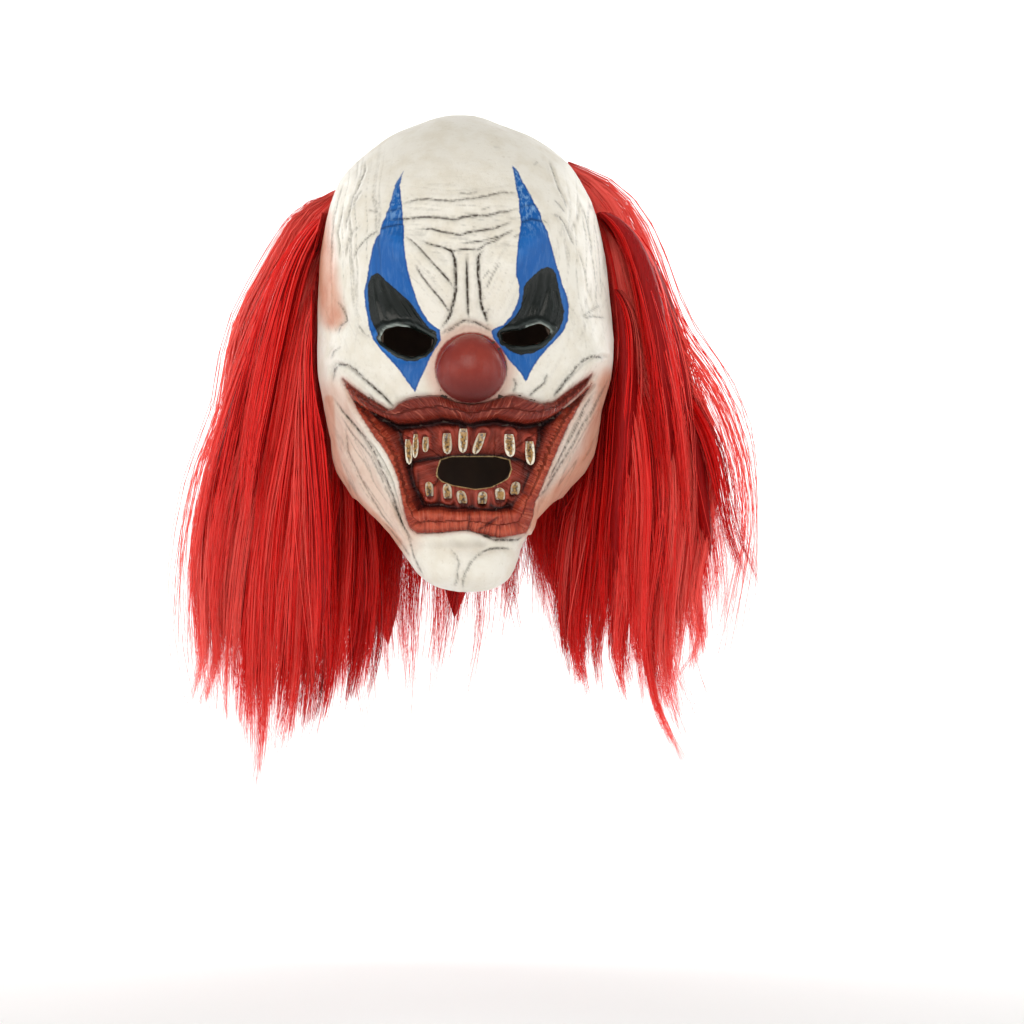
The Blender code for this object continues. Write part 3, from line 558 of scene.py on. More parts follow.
# %% [markdown]
# ## The nose
# The nose is a ball, so it overhangs: its widest ring is nearer to the viewer than its foot.
# The points in a disc of the face are swung round a ball instead of only being lifted.

# %% The ball of the nose
NOSE_HALF_WIDTH = 0.0205
NOSE_HALF_HEIGHT = 0.0205
NOSE_REACH = 0.0255
NOSE_SIDE = 0.0022
NOSE_DROP = 0.1575
NOSE_SWING = math.radians(114)
NOSE_FOOT = 1.15
NOSE_PEAR = 0.19


def round_nose(points):
    """Draws the front of the face out into the ball of the nose."""
    side = (points[..., 0] - NOSE_SIDE) / NOSE_HALF_WIDTH
    down = (WALL - points[..., 2] - NOSE_DROP) / NOSE_HALF_HEIGHT
    away = np.hypot(side, down)
    share = np.clip(away / NOSE_FOOT, 1e-6, 1)
    swing = share * NOSE_SWING
    settle = smooth_step((share - 0.75) / 0.25)
    spread = (np.sin(swing) * (1 - settle) + NOSE_FOOT * share * settle) / np.maximum(away, 1e-6) - 1
    low = math.cos(NOSE_SWING)
    on_nose = (points[..., 1] < 0) & (away < NOSE_FOOT)
    lumps = 1 + 0.03 * waver(9, side * 1.4, down * 1.3)
    pear = 1 + NOSE_PEAR * np.clip(down, -1, 1) * (1 - settle)
    moved = points.copy()
    moved[..., 0] += np.where(on_nose, ((1 + spread) * pear - 1) * side * NOSE_HALF_WIDTH, 0)
    moved[..., 2] -= np.where(on_nose, spread * down * NOSE_HALF_HEIGHT, 0)
    moved[..., 1] -= np.where(on_nose, NOSE_REACH * lumps * (np.cos(swing) - low) / (1 - low), 0)
    return moved


def latex_point(row, angle, inwards=0.0):
    """A point on the latex: outside, or so far inside the wall."""
    points = fit_outline(head_point(row, angle))
    normal = head_normal(row, angle)
    right, down = to_picture(points)
    facing = smooth_step((-normal[..., 1] + 0.20) / 0.60) * (np.cos(angle) > -0.2)
    lift = np.zeros(right.shape)
    front = facing > 0
    lift[front] = face_relief(right[front], down[front]) * facing[front]
    lift += 0.0003 * waver(7, points[..., 0] * 60, points[..., 1] * 50, points[..., 2] * 55)
    nose_side = (points[..., 0] - NOSE_SIDE) / NOSE_HALF_WIDTH
    nose_down = (WALL - points[..., 2] - NOSE_DROP) / NOSE_HALF_HEIGHT
    lift *= smooth_step((np.hypot(nose_side, nose_down) - 0.6) / 0.7) * front + ~front
    return round_nose(points + normal * (lift - inwards)[..., None])


# %% [markdown]
# ## The latex skin
# The points lie closest on the face, about 0.85 mm apart, where the paint edges and folds
# are, and far apart behind. The holes are left out of the sheet, its points beside them are
# drawn onto the hole's outline, and a narrow lip of wall is turned in behind.

# %% Points down and round


def spread_rows(count, crowd):
    """Section numbers from the crown to the rim, closest together on the face."""
    fine = np.linspace(0.02, len(SECTIONS) - 1, 3000)
    spots = head_point(fine, np.zeros_like(fine))
    steps = np.linalg.norm(np.diff(spots, axis=0), axis=1)
    middle = (fine[1:] + fine[:-1]) / 2
    density = 1 + crowd * smooth_step((middle - 3.5) / 2) * (1 - smooth_step((middle - 17.5) / 1.5))
    travelled = np.concatenate([[0], np.cumsum(steps * density)])
    return np.interp(np.linspace(0, travelled[-1], count), travelled, fine)


def spread_angles(count, crowd, start=0.0):
    """Angles all the way round, closest together on the face."""
    fine = np.linspace(-math.pi, math.pi, 4001)
    spots = head_point(np.full_like(fine, 10.0), fine)
    steps = np.linalg.norm(np.diff(spots, axis=0), axis=1)
    middle = (fine[1:] + fine[:-1]) / 2
    density = 1 + crowd * (1 - smooth_step((np.abs(middle) - math.radians(62)) / math.radians(30)))
    travelled = np.concatenate([[0], np.cumsum(steps * density)])
    return np.interp(np.linspace(0, travelled[-1], count, endpoint=False) + start, travelled, fine)


def sheet_with_holes(points):
    """The quads of a grid of points, without the holes, whose edge points are moved to the outline."""
    rows, columns = points.shape[:2]
    points = points.reshape(-1, 3).copy()
    right, down = to_picture(points)
    front = points[:, 1] < -0.03
    in_hole = np.zeros(len(points), bool)
    target = [right.copy(), down.copy()]
    for hole in (*EYE_HOLES, MOUTH_HOLE):
        closed = list(hole) + [hole[0]]
        depth = np.where(front, depth_inside(right, down, hole), -99)
        near = nearest_on_path(right, down, closed)
        here = depth > 0
        in_hole |= here
        target[0] = np.where(here, near[2], target[0])
        target[1] = np.where(here, near[3], target[1])
    points = np.where(in_hole[:, None], shift_in_picture(points, target[0] - right, target[1] - down), points)
    r, c = np.meshgrid(np.arange(rows - 1), np.arange(columns), indexing="ij")
    a = (r * columns + c).ravel()
    b = (r * columns + (c + 1) % columns).ravel()
    quads = np.stack([a, a + columns, b + columns, b], axis=1)
    return points, quads[~in_hole[quads].all(axis=1)]


def turn_in_rims(points, quads, depth):
    """Adds the thickness of the wall round every open edge of a sheet, pointing inwards."""
    edges = {}
    for quad in quads.tolist():
        for a, b in zip(quad, quad[1:] + quad[:1]):
            edges[(a, b)] = edges.get((a, b), 0) + 1
    rim = [(a, b) for a, b in edges if (b, a) not in edges]
    used = sorted({v for edge in rim for v in edge})
    number = {v: len(points) + k for k, v in enumerate(used)}
    inner = points[used] + depth(points[used])
    walls = [(b, a, number[a], number[b]) for a, b in rim]
    return np.vstack([points, inner]), np.vstack([quads, np.array(walls)])


def build(name, points, faces, materials):
    """A smooth mesh object from numpy points and faces."""
    mesh = bpy.data.meshes.new(name)
    mesh.from_pydata(points.tolist(), [], [tuple(face) for face in faces.tolist()])
    mesh.update()
    mesh.shade_smooth()
    for material in materials:
        mesh.materials.append(material)
    piece = bpy.data.objects.new(name, mesh)
    bpy.context.scene.collection.objects.link(piece)
    return piece


# %% The outer and the inner skin
OUTER_ROWS, OUTER_COLUMNS = 322, 276
INNER_ROWS, INNER_COLUMNS = 90, 110


def wall_depth(points):
    """Which way the wall goes in from an open edge: back from the holes, and in from the rim."""
    low = points[:, 2] < -0.20
    behind = (points[:, 1] > -0.075) & low
    inward = -points * [1, 1, 0] / np.maximum(np.linalg.norm(points[:, :2], axis=1), 1e-6)[:, None]
    return np.where(behind[:, None], inward * WALL, np.array([0, WALL * 1.15, 0]))


row, angle = np.meshgrid(spread_rows(OUTER_ROWS, 3.2), spread_angles(OUTER_COLUMNS, 7.0), indexing="ij")
outer_points, outer_quads = sheet_with_holes(latex_point(row, angle))
outer_points, outer_quads = turn_in_rims(outer_points, outer_quads, wall_depth)
row, angle = np.meshgrid(spread_rows(INNER_ROWS, 2.0), spread_angles(INNER_COLUMNS, 2.0), indexing="ij")
inner_points, inner_quads = sheet_with_holes(latex_point(row, angle, WALL))
print("outer skin:", len(outer_quads) * 2, "triangles, inner skin:", len(inner_quads) * 2)

# %% [markdown]
# ## Where the paint goes
# Every point of the skin is projected to the picture once, and what it finds there is kept
# with it: how far inside the blue, the black, the lips, the mouth and the flesh it lies, how
# much grime and painted shade its nearest wrinkle holds, where a highlight is painted on the
# upper lids, and how hollow the surface is, which sets painted shade and painted highlights.

# %% Values kept on the skin
FAR = -40.0


def hollowness(points, rows, columns):
    """How far each grid point lies under its neighbourhood, in millimetres."""
    height = -points.reshape(rows, columns, 3)[..., 1]
    smooth = height.copy()
    for _ in range(10):
        smooth = (smooth + np.roll(smooth, 1, 1) + np.roll(smooth, -1, 1)) / 3
        smooth[1:-1] = (smooth[1:-1] + smooth[2:] + smooth[:-2]) / 3
    return ((smooth - height) / MILLIMETRE).ravel()


def keep_values(piece, values):
    for name, value in values.items():
        attribute = piece.data.attributes.new(name, "FLOAT", "POINT")
        attribute.data.foreach_set("value", np.asarray(value, np.float32))


def paint_values(points):
    right, down = to_picture(points)
    front = (points[:, 1] < 0.01) & (down > 100)
    right_there, down_there = right[front], down[front]
    values = {}
    groups = {
        "blue": (BLUE_LEFT, BLUE_RIGHT), "black": (BLACK_LEFT, BLACK_RIGHT), "upper_lip": (UPPER_LIP,),
        "lower_lip": (LOWER_LIP,), "mouth": (MOUTH,), "mouth_hole": (MOUTH_HOLE,), "eye_holes": EYE_HOLES,
    }
    for name, outlines in groups.items():
        depth = np.full(len(points), FAR)
        for outline in outlines:
            depth[front] = np.maximum(depth[front], depth_inside(right_there, down_there, outline))
        values[name] = depth
    nose_right = (right - NOSE["centre"][0]) / NOSE["half_width"]
    nose_down = (down - NOSE["centre"][1]) / NOSE["half_height"]
    values["nose"] = np.where(front, (1 - np.hypot(nose_right, nose_down)) * NOSE["half_width"], FAR)
    for name in ("flesh", "lid_highlight", "grime_and_shade", "lip_along"):
        values[name] = np.zeros(len(points))
    for half_width, strength, path in FLESH:
        away = nearest_on_path(right_there, down_there, path)[0]
        band = strength * (1 - smooth_step((away - 0.35 * half_width) / (0.9 * half_width)))
        values["flesh"][front] = np.maximum(values["flesh"][front], band)
    # A painted highlight along the upper lids.
    for path in LID_HIGHLIGHTS:
        away = nearest_on_path(right_there, down_there, path)[0]
        values["lid_highlight"][front] = np.maximum(values["lid_highlight"][front], np.exp(-((away / 1.3) ** 2)))
    along = nearest_on_path(right_there, down_there, UPPER_LIP)[1]
    slant = 0.8 * np.sign(right_there - 470) * values["upper_lip"][front]
    lower = nearest_on_path(right_there, down_there, LOWER_LIP)[1]
    in_lower = values["lower_lip"][front] > values["upper_lip"][front]
    values["lip_along"][front] = np.where(in_lower, lower, along + slant)
    # A dark line along each fold: the brown wash that stays in it, and painted shade in it.
    values["grime_and_shade"][front] = 0.48 * fine_wrinkles(right_there, down_there)
    for _, half_width, dark, path in WRINKLES + MOUTH_CREASES:
        away, along = nearest_on_path(right_there, down_there, path)[:2]
        length = along.max()
        taper = smooth_step(np.minimum(along, length - along) / (0.2 * length + 1e-6) + 0.3)
        line = 0.85 * np.exp(-((away / (0.50 * half_width)) ** 2)) + 0.16 * np.exp(-((away / (2.8 * half_width)) ** 2))
        values["grime_and_shade"][front] = np.maximum(values["grime_and_shade"][front], dark * taper * line)
    return values


# %% [markdown]
# ## Helpers for finishes
# Colours are written as sRGB hex, as a painter's chart gives them, and one function makes
# them linear. One more adds a node with its settings and links.

# %% Colour and nodes


def linear(hex_colour):
    """A linear colour from an sRGB hex value."""
    parts = [int(hex_colour[k:k + 2], 16) / 255 for k in (1, 3, 5)]
    return (*[p / 12.92 if p <= 0.04045 else ((p + 0.055) / 1.055) ** 2.4 for p in parts], 1)


def add(tree, kind, inputs=None, **settings):
    """Adds one node, sets it up, and links or fills its inputs."""
    node = tree.nodes.new("ShaderNode" + kind)
    for name, value in settings.items():
        setattr(node, name, value)
    for key, value in (inputs or {}).items():
        if isinstance(value, bpy.types.NodeSocket):
            tree.links.new(value, node.inputs[key])
        else:
            node.inputs[key].default_value = value
    return node


def new_finish(name, **constants):
    """A material with its shader, whose constant values sit on the shader's own sockets."""
    material = bpy.data.materials.new(name)
    material.use_nodes = True
    shader = material.node_tree.nodes["Principled BSDF"]
    for socket, value in constants.items():
        shader.inputs[socket.replace("_", " ")].default_value = value
    return material, material.node_tree, shader


FACTOR, FIRST, SECOND, MIXED = "Factor", 6, 7, 2


def edge_factor(tree, attribute, wobble, low=-0.7, high=0.7, strength=1.0):
    """How much of a painted shape covers a place: 0 outside its edge, 1 inside, a little uneven."""
    depth = add(tree, "Attribute", attribute_name=attribute).outputs["Fac"]
    uneven = add(tree, "Math", {0: depth, 1: wobble}, operation="ADD").outputs[0]
    return add(tree, "MapRange", {0: uneven, 1: low, 2: high, 3: 0.0, 4: strength},
               interpolation_type="SMOOTHSTEP").outputs[0]


def paint_over(tree, under, factor, colour, mode="MIX"):
    """One coat: a colour laid over what is under it, by a factor."""
    coat = add(tree, "Mix", {FIRST: under, SECOND: colour}, data_type="RGBA", blend_type=mode)
    if isinstance(factor, bpy.types.NodeSocket):
        tree.links.new(factor, coat.inputs[0])
    else:
        coat.inputs[0].default_value = factor
    return coat.outputs[MIXED]


# %% [markdown]
# ## Painted latex
# Latex is dipped or slushed in a plaster mould, so it takes the clay's fine grain. It is
# painted with rubber paint: ivory first, then blue, black and reds, each with a brushed,
# slightly worn edge, and a brown wash that stays in the folds. Over that, shade is painted
# darker into the folds, hollows and under the nose, and highlights are painted lighter on
# crests, lip ridges, the black patches and the upper lids. Cured rubber paint has a
# satin sheen, and the nose and lips are varnished.

# %% The painted latex
PORE_MM = 0.9
BLOTCH_MM = 14.0
STREAK_MM = 2.2
latex, tree, shader = new_finish("painted_latex", Metallic=0.0, IOR=1.52, Specular_IOR_Level=0.26)
place = add(tree, "TexCoord").outputs["Object"]
blotch = add(tree, "TexNoise", {"Vector": place, "Scale": 1000 / BLOTCH_MM, "Detail": 4.0, "Roughness": 0.6}).outputs["Fac"]
speck = add(tree, "TexNoise", {"Vector": place, "Scale": 1000 / STREAK_MM, "Detail": 3.0, "Roughness": 0.6}).outputs["Fac"]
pores = add(tree, "TexNoise", {"Vector": place, "Scale": 1000 / PORE_MM, "Detail": 2.0}).outputs["Fac"]
brush_grain = add(tree, "Mapping", {"Vector": place, "Scale": (1.0, 1.0, 0.16)}).outputs[0]
streak = add(tree, "TexNoise", {"Vector": brush_grain, "Scale": 1000 / STREAK_MM, "Detail": 3.0, "Roughness": 0.65}).outputs["Fac"]
wobble = add(tree, "MapRange", {0: speck, 1: 0.3, 2: 0.7, 3: -0.45, 4: 0.45}).outputs[0]
ridge = add(tree, "Attribute", attribute_name="ridge").outputs["Fac"]
grime_and_shade = add(tree, "Attribute", attribute_name="grime_and_shade").outputs["Fac"]
# Painted shade in the hollows and painted highlights on the crests, from how far the skin stands out.
cavity_shade = add(tree, "MapRange", {0: ridge, 1: -0.05, 2: -1.2, 3: 0.0, 4: 1.0}).outputs[0]
crest_highlight = add(tree, "MapRange", {0: ridge, 1: 0.05, 2: 0.9, 3: 0.0, 4: 1.0}).outputs[0]
height = add(tree, "SeparateXYZ", {0: place}).outputs["Z"]

patchy = add(tree, "MapRange", {0: blotch, 1: 0.42, 2: 0.66, 3: 0.0, 4: 0.55}).outputs[0]
colour = paint_over(tree, linear("#E9E5DA"), patchy, linear("#DAD2C0"))
flecks = add(tree, "MapRange", {0: speck, 1: 0.60, 2: 0.74, 3: 0.0, 4: 0.30}).outputs[0]
colour = paint_over(tree, colour, flecks, linear("#BDB19B"))
flesh_tone = paint_over(tree, linear("#CF9C82"), patchy, linear("#BC6E50"))
flesh = add(tree, "Attribute", attribute_name="flesh").outputs["Fac"]
colour = paint_over(tree, colour, flesh, flesh_tone)
halo = edge_factor(tree, "nose", wobble, -17.0, 0.0, 0.60)
colour = paint_over(tree, colour, halo, linear("#C98F78"))
lip_halo = edge_factor(tree, "lower_lip", wobble, -5.0, 0.5, 0.50)
colour = paint_over(tree, colour, lip_halo, linear("#B9765F"))
lip_halo = edge_factor(tree, "upper_lip", wobble, -5.0, 0.5, 0.55)
colour = paint_over(tree, colour, lip_halo, linear("#A9604C"))

# The brown wash darkens the wrinkles together with painted shade, and painted shade darkens the hollows.
wash_uneven = add(tree, "MapRange", {0: speck, 1: 0.36, 2: 0.56, 3: 0.30, 4: 1.0}).outputs[0]
wash_and_shade = add(tree, "Math", {0: grime_and_shade, 1: wash_uneven}, operation="MULTIPLY").outputs[0]
soft_cavity_shade = add(tree, "Math", {0: cavity_shade, 1: 0.55}, operation="MULTIPLY").outputs[0]
wash_and_shade = add(tree, "Math", {0: wash_and_shade, 1: soft_cavity_shade}, operation="ADD", use_clamp=True).outputs[0]
colour = paint_over(tree, colour, wash_and_shade, linear("#352B22"))

worn = add(tree, "MapRange", {0: streak, 1: 0.47, 2: 0.66, 3: 0.0, 4: 1.0}).outputs[0]
upper_wear = add(tree, "MapRange", {0: height, 1: -0.078, 2: -0.055, 3: 0.10, 4: 0.80}).outputs[0]
wear = add(tree, "Math", {0: worn, 1: upper_wear}, operation="MULTIPLY").outputs[0]
# The blue gets painted highlights on its crests and painted shade in its hollows.
blue_tone = paint_over(tree, linear("#0658A4"), crest_highlight, linear("#1E6CBB"))
blue_tone = paint_over(tree, blue_tone, wear, linear("#8DB8E0"))
blue_tone = paint_over(tree, blue_tone, soft_cavity_shade, linear("#08264F"))
blue_rim = edge_factor(tree, "blue", wobble, 2.6, 0.6, 0.55)
blue_tone = paint_over(tree, blue_tone, blue_rim, linear("#0D3F86"))
# Wash and painted shade in the blue's wrinkles.
blue_tone = paint_over(tree, blue_tone, grime_and_shade, linear("#0A2448"))
blue = edge_factor(tree, "blue", wobble)
colour = paint_over(tree, colour, blue, blue_tone)

# Grey painted highlights on the crests of the black.
painted_glint = add(tree, "MapRange", {0: ridge, 1: 0.15, 2: 0.90, 3: 0.0, 4: 0.20}).outputs[0]
black_tone = paint_over(tree, linear("#0D1411"), painted_glint, linear("#5C6866"))
# The pale painted highlight on the upper lids.
lid_highlight = add(tree, "Attribute", attribute_name="lid_highlight").outputs["Fac"]
black_tone = paint_over(tree, black_tone, lid_highlight, linear("#9FAAA4"))
black = edge_factor(tree, "black", wobble, -0.9, 0.5)
black_lid = edge_factor(tree, "eye_holes", wobble, -4.2, -3.0)
black = add(tree, "Math", {0: black, 1: black_lid}, operation="MAXIMUM").outputs[0]
colour = paint_over(tree, colour, black, black_tone)

lip_along = add(tree, "Attribute", attribute_name="lip_along").outputs["Fac"]
lip_depth = add(tree, "Attribute", attribute_name="upper_lip").outputs["Fac"]
lip_place = add(tree, "CombineXYZ", {"X": lip_along, "Y": lip_depth}).outputs[0]
lip_place = add(tree, "Mapping", {"Vector": lip_place, "Scale": (1.0, 0.12, 1.0)}).outputs[0]
creases = add(tree, "TexNoise", {"Vector": lip_place, "Scale": 0.33, "Detail": 3.0, "Roughness": 0.7}).outputs["Fac"]
# Painted highlights on the ridges across the lips and painted shade in the creases between them.
crease_highlight = add(tree, "MapRange", {0: creases, 1: 0.52, 2: 0.68, 3: 0.0, 4: 0.75}).outputs[0]
crease_shade = add(tree, "MapRange", {0: creases, 1: 0.46, 2: 0.32, 3: 0.0, 4: 0.75}).outputs[0]

# The gums get painted shade in their hollows and painted highlights on their crests.
gum_tone = paint_over(tree, linear("#84301F"), cavity_shade, linear("#240807"))
deep = add(tree, "MapRange", {0: blotch, 1: 0.35, 2: 0.65, 3: 0.0, 4: 0.6}).outputs[0]
gum_tone = paint_over(tree, gum_tone, deep, linear("#66201A"))
gum_tone = paint_over(tree, gum_tone, crest_highlight, linear("#A84434"))
# Wash and painted shade in the creases of the mouth.
gum_tone = paint_over(tree, gum_tone, grime_and_shade, linear("#160505"))
mouth = edge_factor(tree, "mouth", wobble, -4.5, -2.5)
colour = paint_over(tree, colour, mouth, gum_tone)
# The upper lip gets painted highlights and shade along its creases, and painted shade in its hollows.
upper_tone = paint_over(tree, linear("#7B281B"), crease_highlight, linear("#BC6450"))
upper_tone = paint_over(tree, upper_tone, crease_shade, linear("#42110D"))
upper_tone = paint_over(tree, upper_tone, soft_cavity_shade, linear("#3A0D0B"))
upper = edge_factor(tree, "upper_lip", wobble, -1.6, 0.8)
colour = paint_over(tree, colour, upper, upper_tone)
# The lower lip gets painted highlights on its crests and ridges, and painted shade in its creases and hollows.
lower_tone = paint_over(tree, linear("#983623"), crest_highlight, linear("#BE5238"))
lower_tone = paint_over(tree, lower_tone, crease_highlight, linear("#CC6A50"))
lower_tone = paint_over(tree, lower_tone, crease_shade, linear("#661C13"))
lower_tone = paint_over(tree, lower_tone, soft_cavity_shade, linear("#3E0E0B"))
# Wash and painted shade in the lower lip's wrinkles.
lower_tone = paint_over(tree, lower_tone, grime_and_shade, linear("#2E0A08"))
lower = edge_factor(tree, "lower_lip", wobble, -1.0, 0.6)
colour = paint_over(tree, colour, lower, lower_tone)
cut_edge = edge_factor(tree, "mouth_hole", wobble, -1.5, -0.5, 0.8)
colour = paint_over(tree, colour, cut_edge, linear("#B39A6A"))

# Painted shade on the underside of the nose's ball.
nose_underside_shade = add(tree, "MapRange", {0: height, 1: -0.157, 2: -0.177, 3: 0.0, 4: 0.90}).outputs[0]
nose_tone = paint_over(tree, linear("#822E26"), patchy, linear("#963B2E"))
nose_tone = paint_over(tree, nose_tone, nose_underside_shade, linear("#451416"))
nose = edge_factor(tree, "nose", wobble, -1.6, 1.0)
colour = paint_over(tree, colour, nose, nose_tone)
tree.links.new(colour, shader.inputs["Base Color"])

wet = add(tree, "Math", {0: upper, 1: lower}, operation="MAXIMUM").outputs[0]
wet = add(tree, "Math", {0: wet, 1: mouth}, operation="MAXIMUM").outputs[0]
satin = add(tree, "MapRange", {0: blotch, 1: 0.3, 2: 0.7, 3: 0.40, 4: 0.55}).outputs[0]
rough = add(tree, "Mix", {0: blue, 2: satin, 3: 0.36}, data_type="FLOAT").outputs[0]
rough = add(tree, "Mix", {0: wet, 2: rough, 3: 0.27}, data_type="FLOAT").outputs[0]
rough = add(tree, "Mix", {0: black, 2: rough, 3: 0.26}, data_type="FLOAT").outputs[0]
rough = add(tree, "Mix", {0: nose, 2: rough, 3: 0.27}, data_type="FLOAT").outputs[0]
tree.links.new(rough, shader.inputs["Roughness"])
grain = add(tree, "Bump", {"Strength": 0.30, "Distance": 0.0004, "Height": pores}).outputs[0]
grain = add(tree, "Bump", {"Strength": 0.40, "Distance": 0.0006, "Height": streak, "Normal": grain}).outputs[0]
lip_relief = add(tree, "Math", {0: creases, 1: wet}, operation="MULTIPLY").outputs[0]
grain = add(tree, "Bump", {"Strength": 1.0, "Distance": 0.0024, "Height": lip_relief, "Normal": grain}).outputs[0]
tree.links.new(grain, shader.inputs["Normal"])

# %% [markdown]
# ## The bare inside
# Nobody paints the inside: it keeps the brown of cured latex, dull and a little streaked.

# %% The bare latex inside
bare, tree, shader = new_finish("bare_latex", Metallic=0.0, IOR=1.52, Roughness=0.7)
place = add(tree, "TexCoord").outputs["Object"]
blotch = add(tree, "TexNoise", {"Vector": place, "Scale": 1000 / BLOTCH_MM, "Detail": 4.0}).outputs["Fac"]
tone = paint_over(tree, linear("#4A3626"), blotch, linear("#2A1E16"))
tree.links.new(tone, shader.inputs["Base Color"])
bump = add(tree, "Bump", {"Strength": 0.3, "Distance": 0.0008, "Height": blotch}).outputs[0]
tree.links.new(bump, shader.inputs["Normal"])

# %% The mask's two skins
mask = build("mask_latex", outer_points, outer_quads, [latex])
grid_count = OUTER_ROWS * OUTER_COLUMNS
values = paint_values(outer_points)
# How far the skin stands out: painted shade goes in its hollows and painted highlights on its crests.
ridge_value = -hollowness(outer_points[:grid_count], OUTER_ROWS, OUTER_COLUMNS)
ridge_value = np.concatenate([ridge_value, np.zeros(len(outer_points) - grid_count)])
off_nose = smooth_step((-values["nose"] - 8) / 8)
off_lips = 0.35 + 0.65 * smooth_step((np.abs(np.maximum(values["upper_lip"], values["lower_lip"])) - 2) / 4)
values["ridge"] = np.clip(ridge_value, -3, 3) * off_nose * np.where(values["mouth"] > 0, 1.0, off_lips)
keep_values(mask, values)
lining = build("mask_inside", inner_points, inner_quads[:, ::-1], [bare])
for piece in (mask, lining):
    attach(piece, "root")
    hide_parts("mask_shell")
print("mask:", len(mask.data.vertices), "points")

# %% [markdown]
# ## Teeth
# Crooked pegs, cast with the gum and painted: cream at the edges, gold and brown in the
# middle. Each is a short rounded rod from a root to a tip given in picture pixels, set on
# the gum where the mesh already is.

# %% The teeth
TOOTH_SIDES = 16
TOOTH_FULLNESS = (0.80, 0.95, 1.00, 1.02, 1.03, 1.00, 0.94, 0.82, 0.60, 0.04)
outer_right, outer_down = to_picture(outer_points[:grid_count])
seen = outer_points[:grid_count, 1] < -0.05


def on_skin(right, down):
    """The skin's point that the camera sees at a pixel."""
    away = np.where(seen, np.hypot(outer_right - right, outer_down - down), 1e9)
    return outer_points[int(np.argmin(away))]


def make_teeth():
    points, faces, core, pale = [], [], [], []
    for number, (root, tip, width, rim) in enumerate(TEETH):
        start, end = on_skin(*root), on_skin(*tip)
        depth = min(start[1], end[1] + 0.004)
        start = np.array([start[0], depth - 0.0006, start[2]])
        end = np.array([end[0], depth - 0.0010, end[2]])
        radius = width / 2 / PIXELS_PER_SLOPE * (start[1] - EYE[1])
        rings = len(TOOTH_FULLNESS)
        base = len(points)
        for k, fullness in enumerate(TOOTH_FULLNESS):
            centre = start + (end - start) * (1 - (1 - k / (rings - 1)) ** 1.25)
            for s in range(TOOTH_SIDES):
                turn = 2 * math.pi * s / TOOTH_SIDES
                bulge = 1 + 0.06 * math.sin(3 * turn + number)
                x = radius * fullness * bulge * math.cos(turn)
                recess = 0.38 * math.exp(-(((turn - math.pi / 2) / 0.55) ** 2))
                y = -radius * 1.15 * fullness * (bulge * math.sin(turn) - recess)
                points.append(centre + np.array([x, y, 0]))
                core.append(abs(math.cos(turn)) * 0.75 + 0.45 * (k / (rings - 1)) ** 3)
                pale.append(rim)
        for k in range(rings - 1):
            for s in range(TOOTH_SIDES):
                a, b = base + k * TOOTH_SIDES + s, base + k * TOOTH_SIDES + (s + 1) % TOOTH_SIDES
                faces.append((a, b, b + TOOTH_SIDES, a + TOOTH_SIDES))
    return np.array(points), np.array(faces), core, pale


enamel, tree, shader = new_finish("painted_tooth", Metallic=0.0, IOR=1.55, Roughness=0.20)
place = add(tree, "TexCoord").outputs["Object"]
stain = add(tree, "TexNoise", {"Vector": place, "Scale": 600.0, "Detail": 3.0}).outputs["Fac"]
core = add(tree, "Attribute", attribute_name="core").outputs["Fac"]
pale = add(tree, "Attribute", attribute_name="pale").outputs["Fac"]
core = add(tree, "Math", {0: core, 1: stain}, operation="ADD").outputs[0]
rim = add(tree, "MapRange", {0: core, 1: 0.88, 2: 1.16, 3: 0.0, 4: 1.0}).outputs[0]
rim = add(tree, "Math", {0: rim, 1: pale}, operation="MULTIPLY").outputs[0]
stained = add(tree, "MapRange", {0: stain, 1: 0.40, 2: 0.60, 3: 0.0, 4: 1.0}).outputs[0]
tone = paint_over(tree, linear("#A98148"), stained, linear("#3E2612"))
tone = paint_over(tree, tone, rim, linear("#F6EED8"))
tree.links.new(tone, shader.inputs["Base Color"])
tooth_points, tooth_faces, tooth_core, tooth_pale = make_teeth()
teeth = build("teeth", tooth_points, tooth_faces, [enamel])
keep_values(teeth, {"core": tooth_core, "pale": tooth_pale})
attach(teeth, "root")
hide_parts("mask_shell")
print("teeth:", len(TEETH))

# %% [markdown]
# ## Hair
# Synthetic wig hair is sold as a weft: a sewn edge with long fibres, curled by heat. It is
# glued in a horseshoe round the sides and back. Real fibres are 0.07 mm thick. Here each
# strand is a flat ribbon of about half a millimetre, a small bundle of fibres, because
# thinner ones would be lost in the picture. They follow locks that arch out and hang down.

# %% Locks
HAIR_GAP = 0.0005
BACKING_TOP = 0.052
BACKING_HEIGHT = 0.075
BACKING_FRONT = math.radians(86)
LOCK_WIDTH = 0.046
LOCK_THICKNESS = 0.034
LOCK_WAVE = 0.007
LOCK_FULLNESS = (0.50, 0.80, 0.95, 1.00, 0.90, 0.30)
LOCKS = (
    # round height turn   reach  drop  size
    (0.07, 0.92, 0.05, 0.60, 0.68, 0.75),
    (0.08, 0.30, 0.00, 0.05, 0.88, 0.80),
    (0.15, 0.94, 0.13, 1.00, 0.88, 1.00),
    (0.20, 0.45, 0.12, 0.51, 1.00, 1.05),
    (0.30, 0.92, 0.29, 1.00, 0.93, 1.10),
    (0.40, 0.40, 0.38, 0.39, 0.93, 1.05),
    (0.50, 0.90, 0.51, 0.88, 0.97, 1.15),
    (0.62, 0.45, 0.62, 0.39, 0.88, 1.10),
    (0.74, 0.90, 0.75, 0.68, 0.96, 1.20),
    (0.92, 0.75, 0.92, 0.47, 0.90, 1.20),
)
SIDES = {
    # mirror, longest length, furthest reach
    "left": (-1, 0.395, 0.172),
    "right": (1, 0.352, 0.154),
}


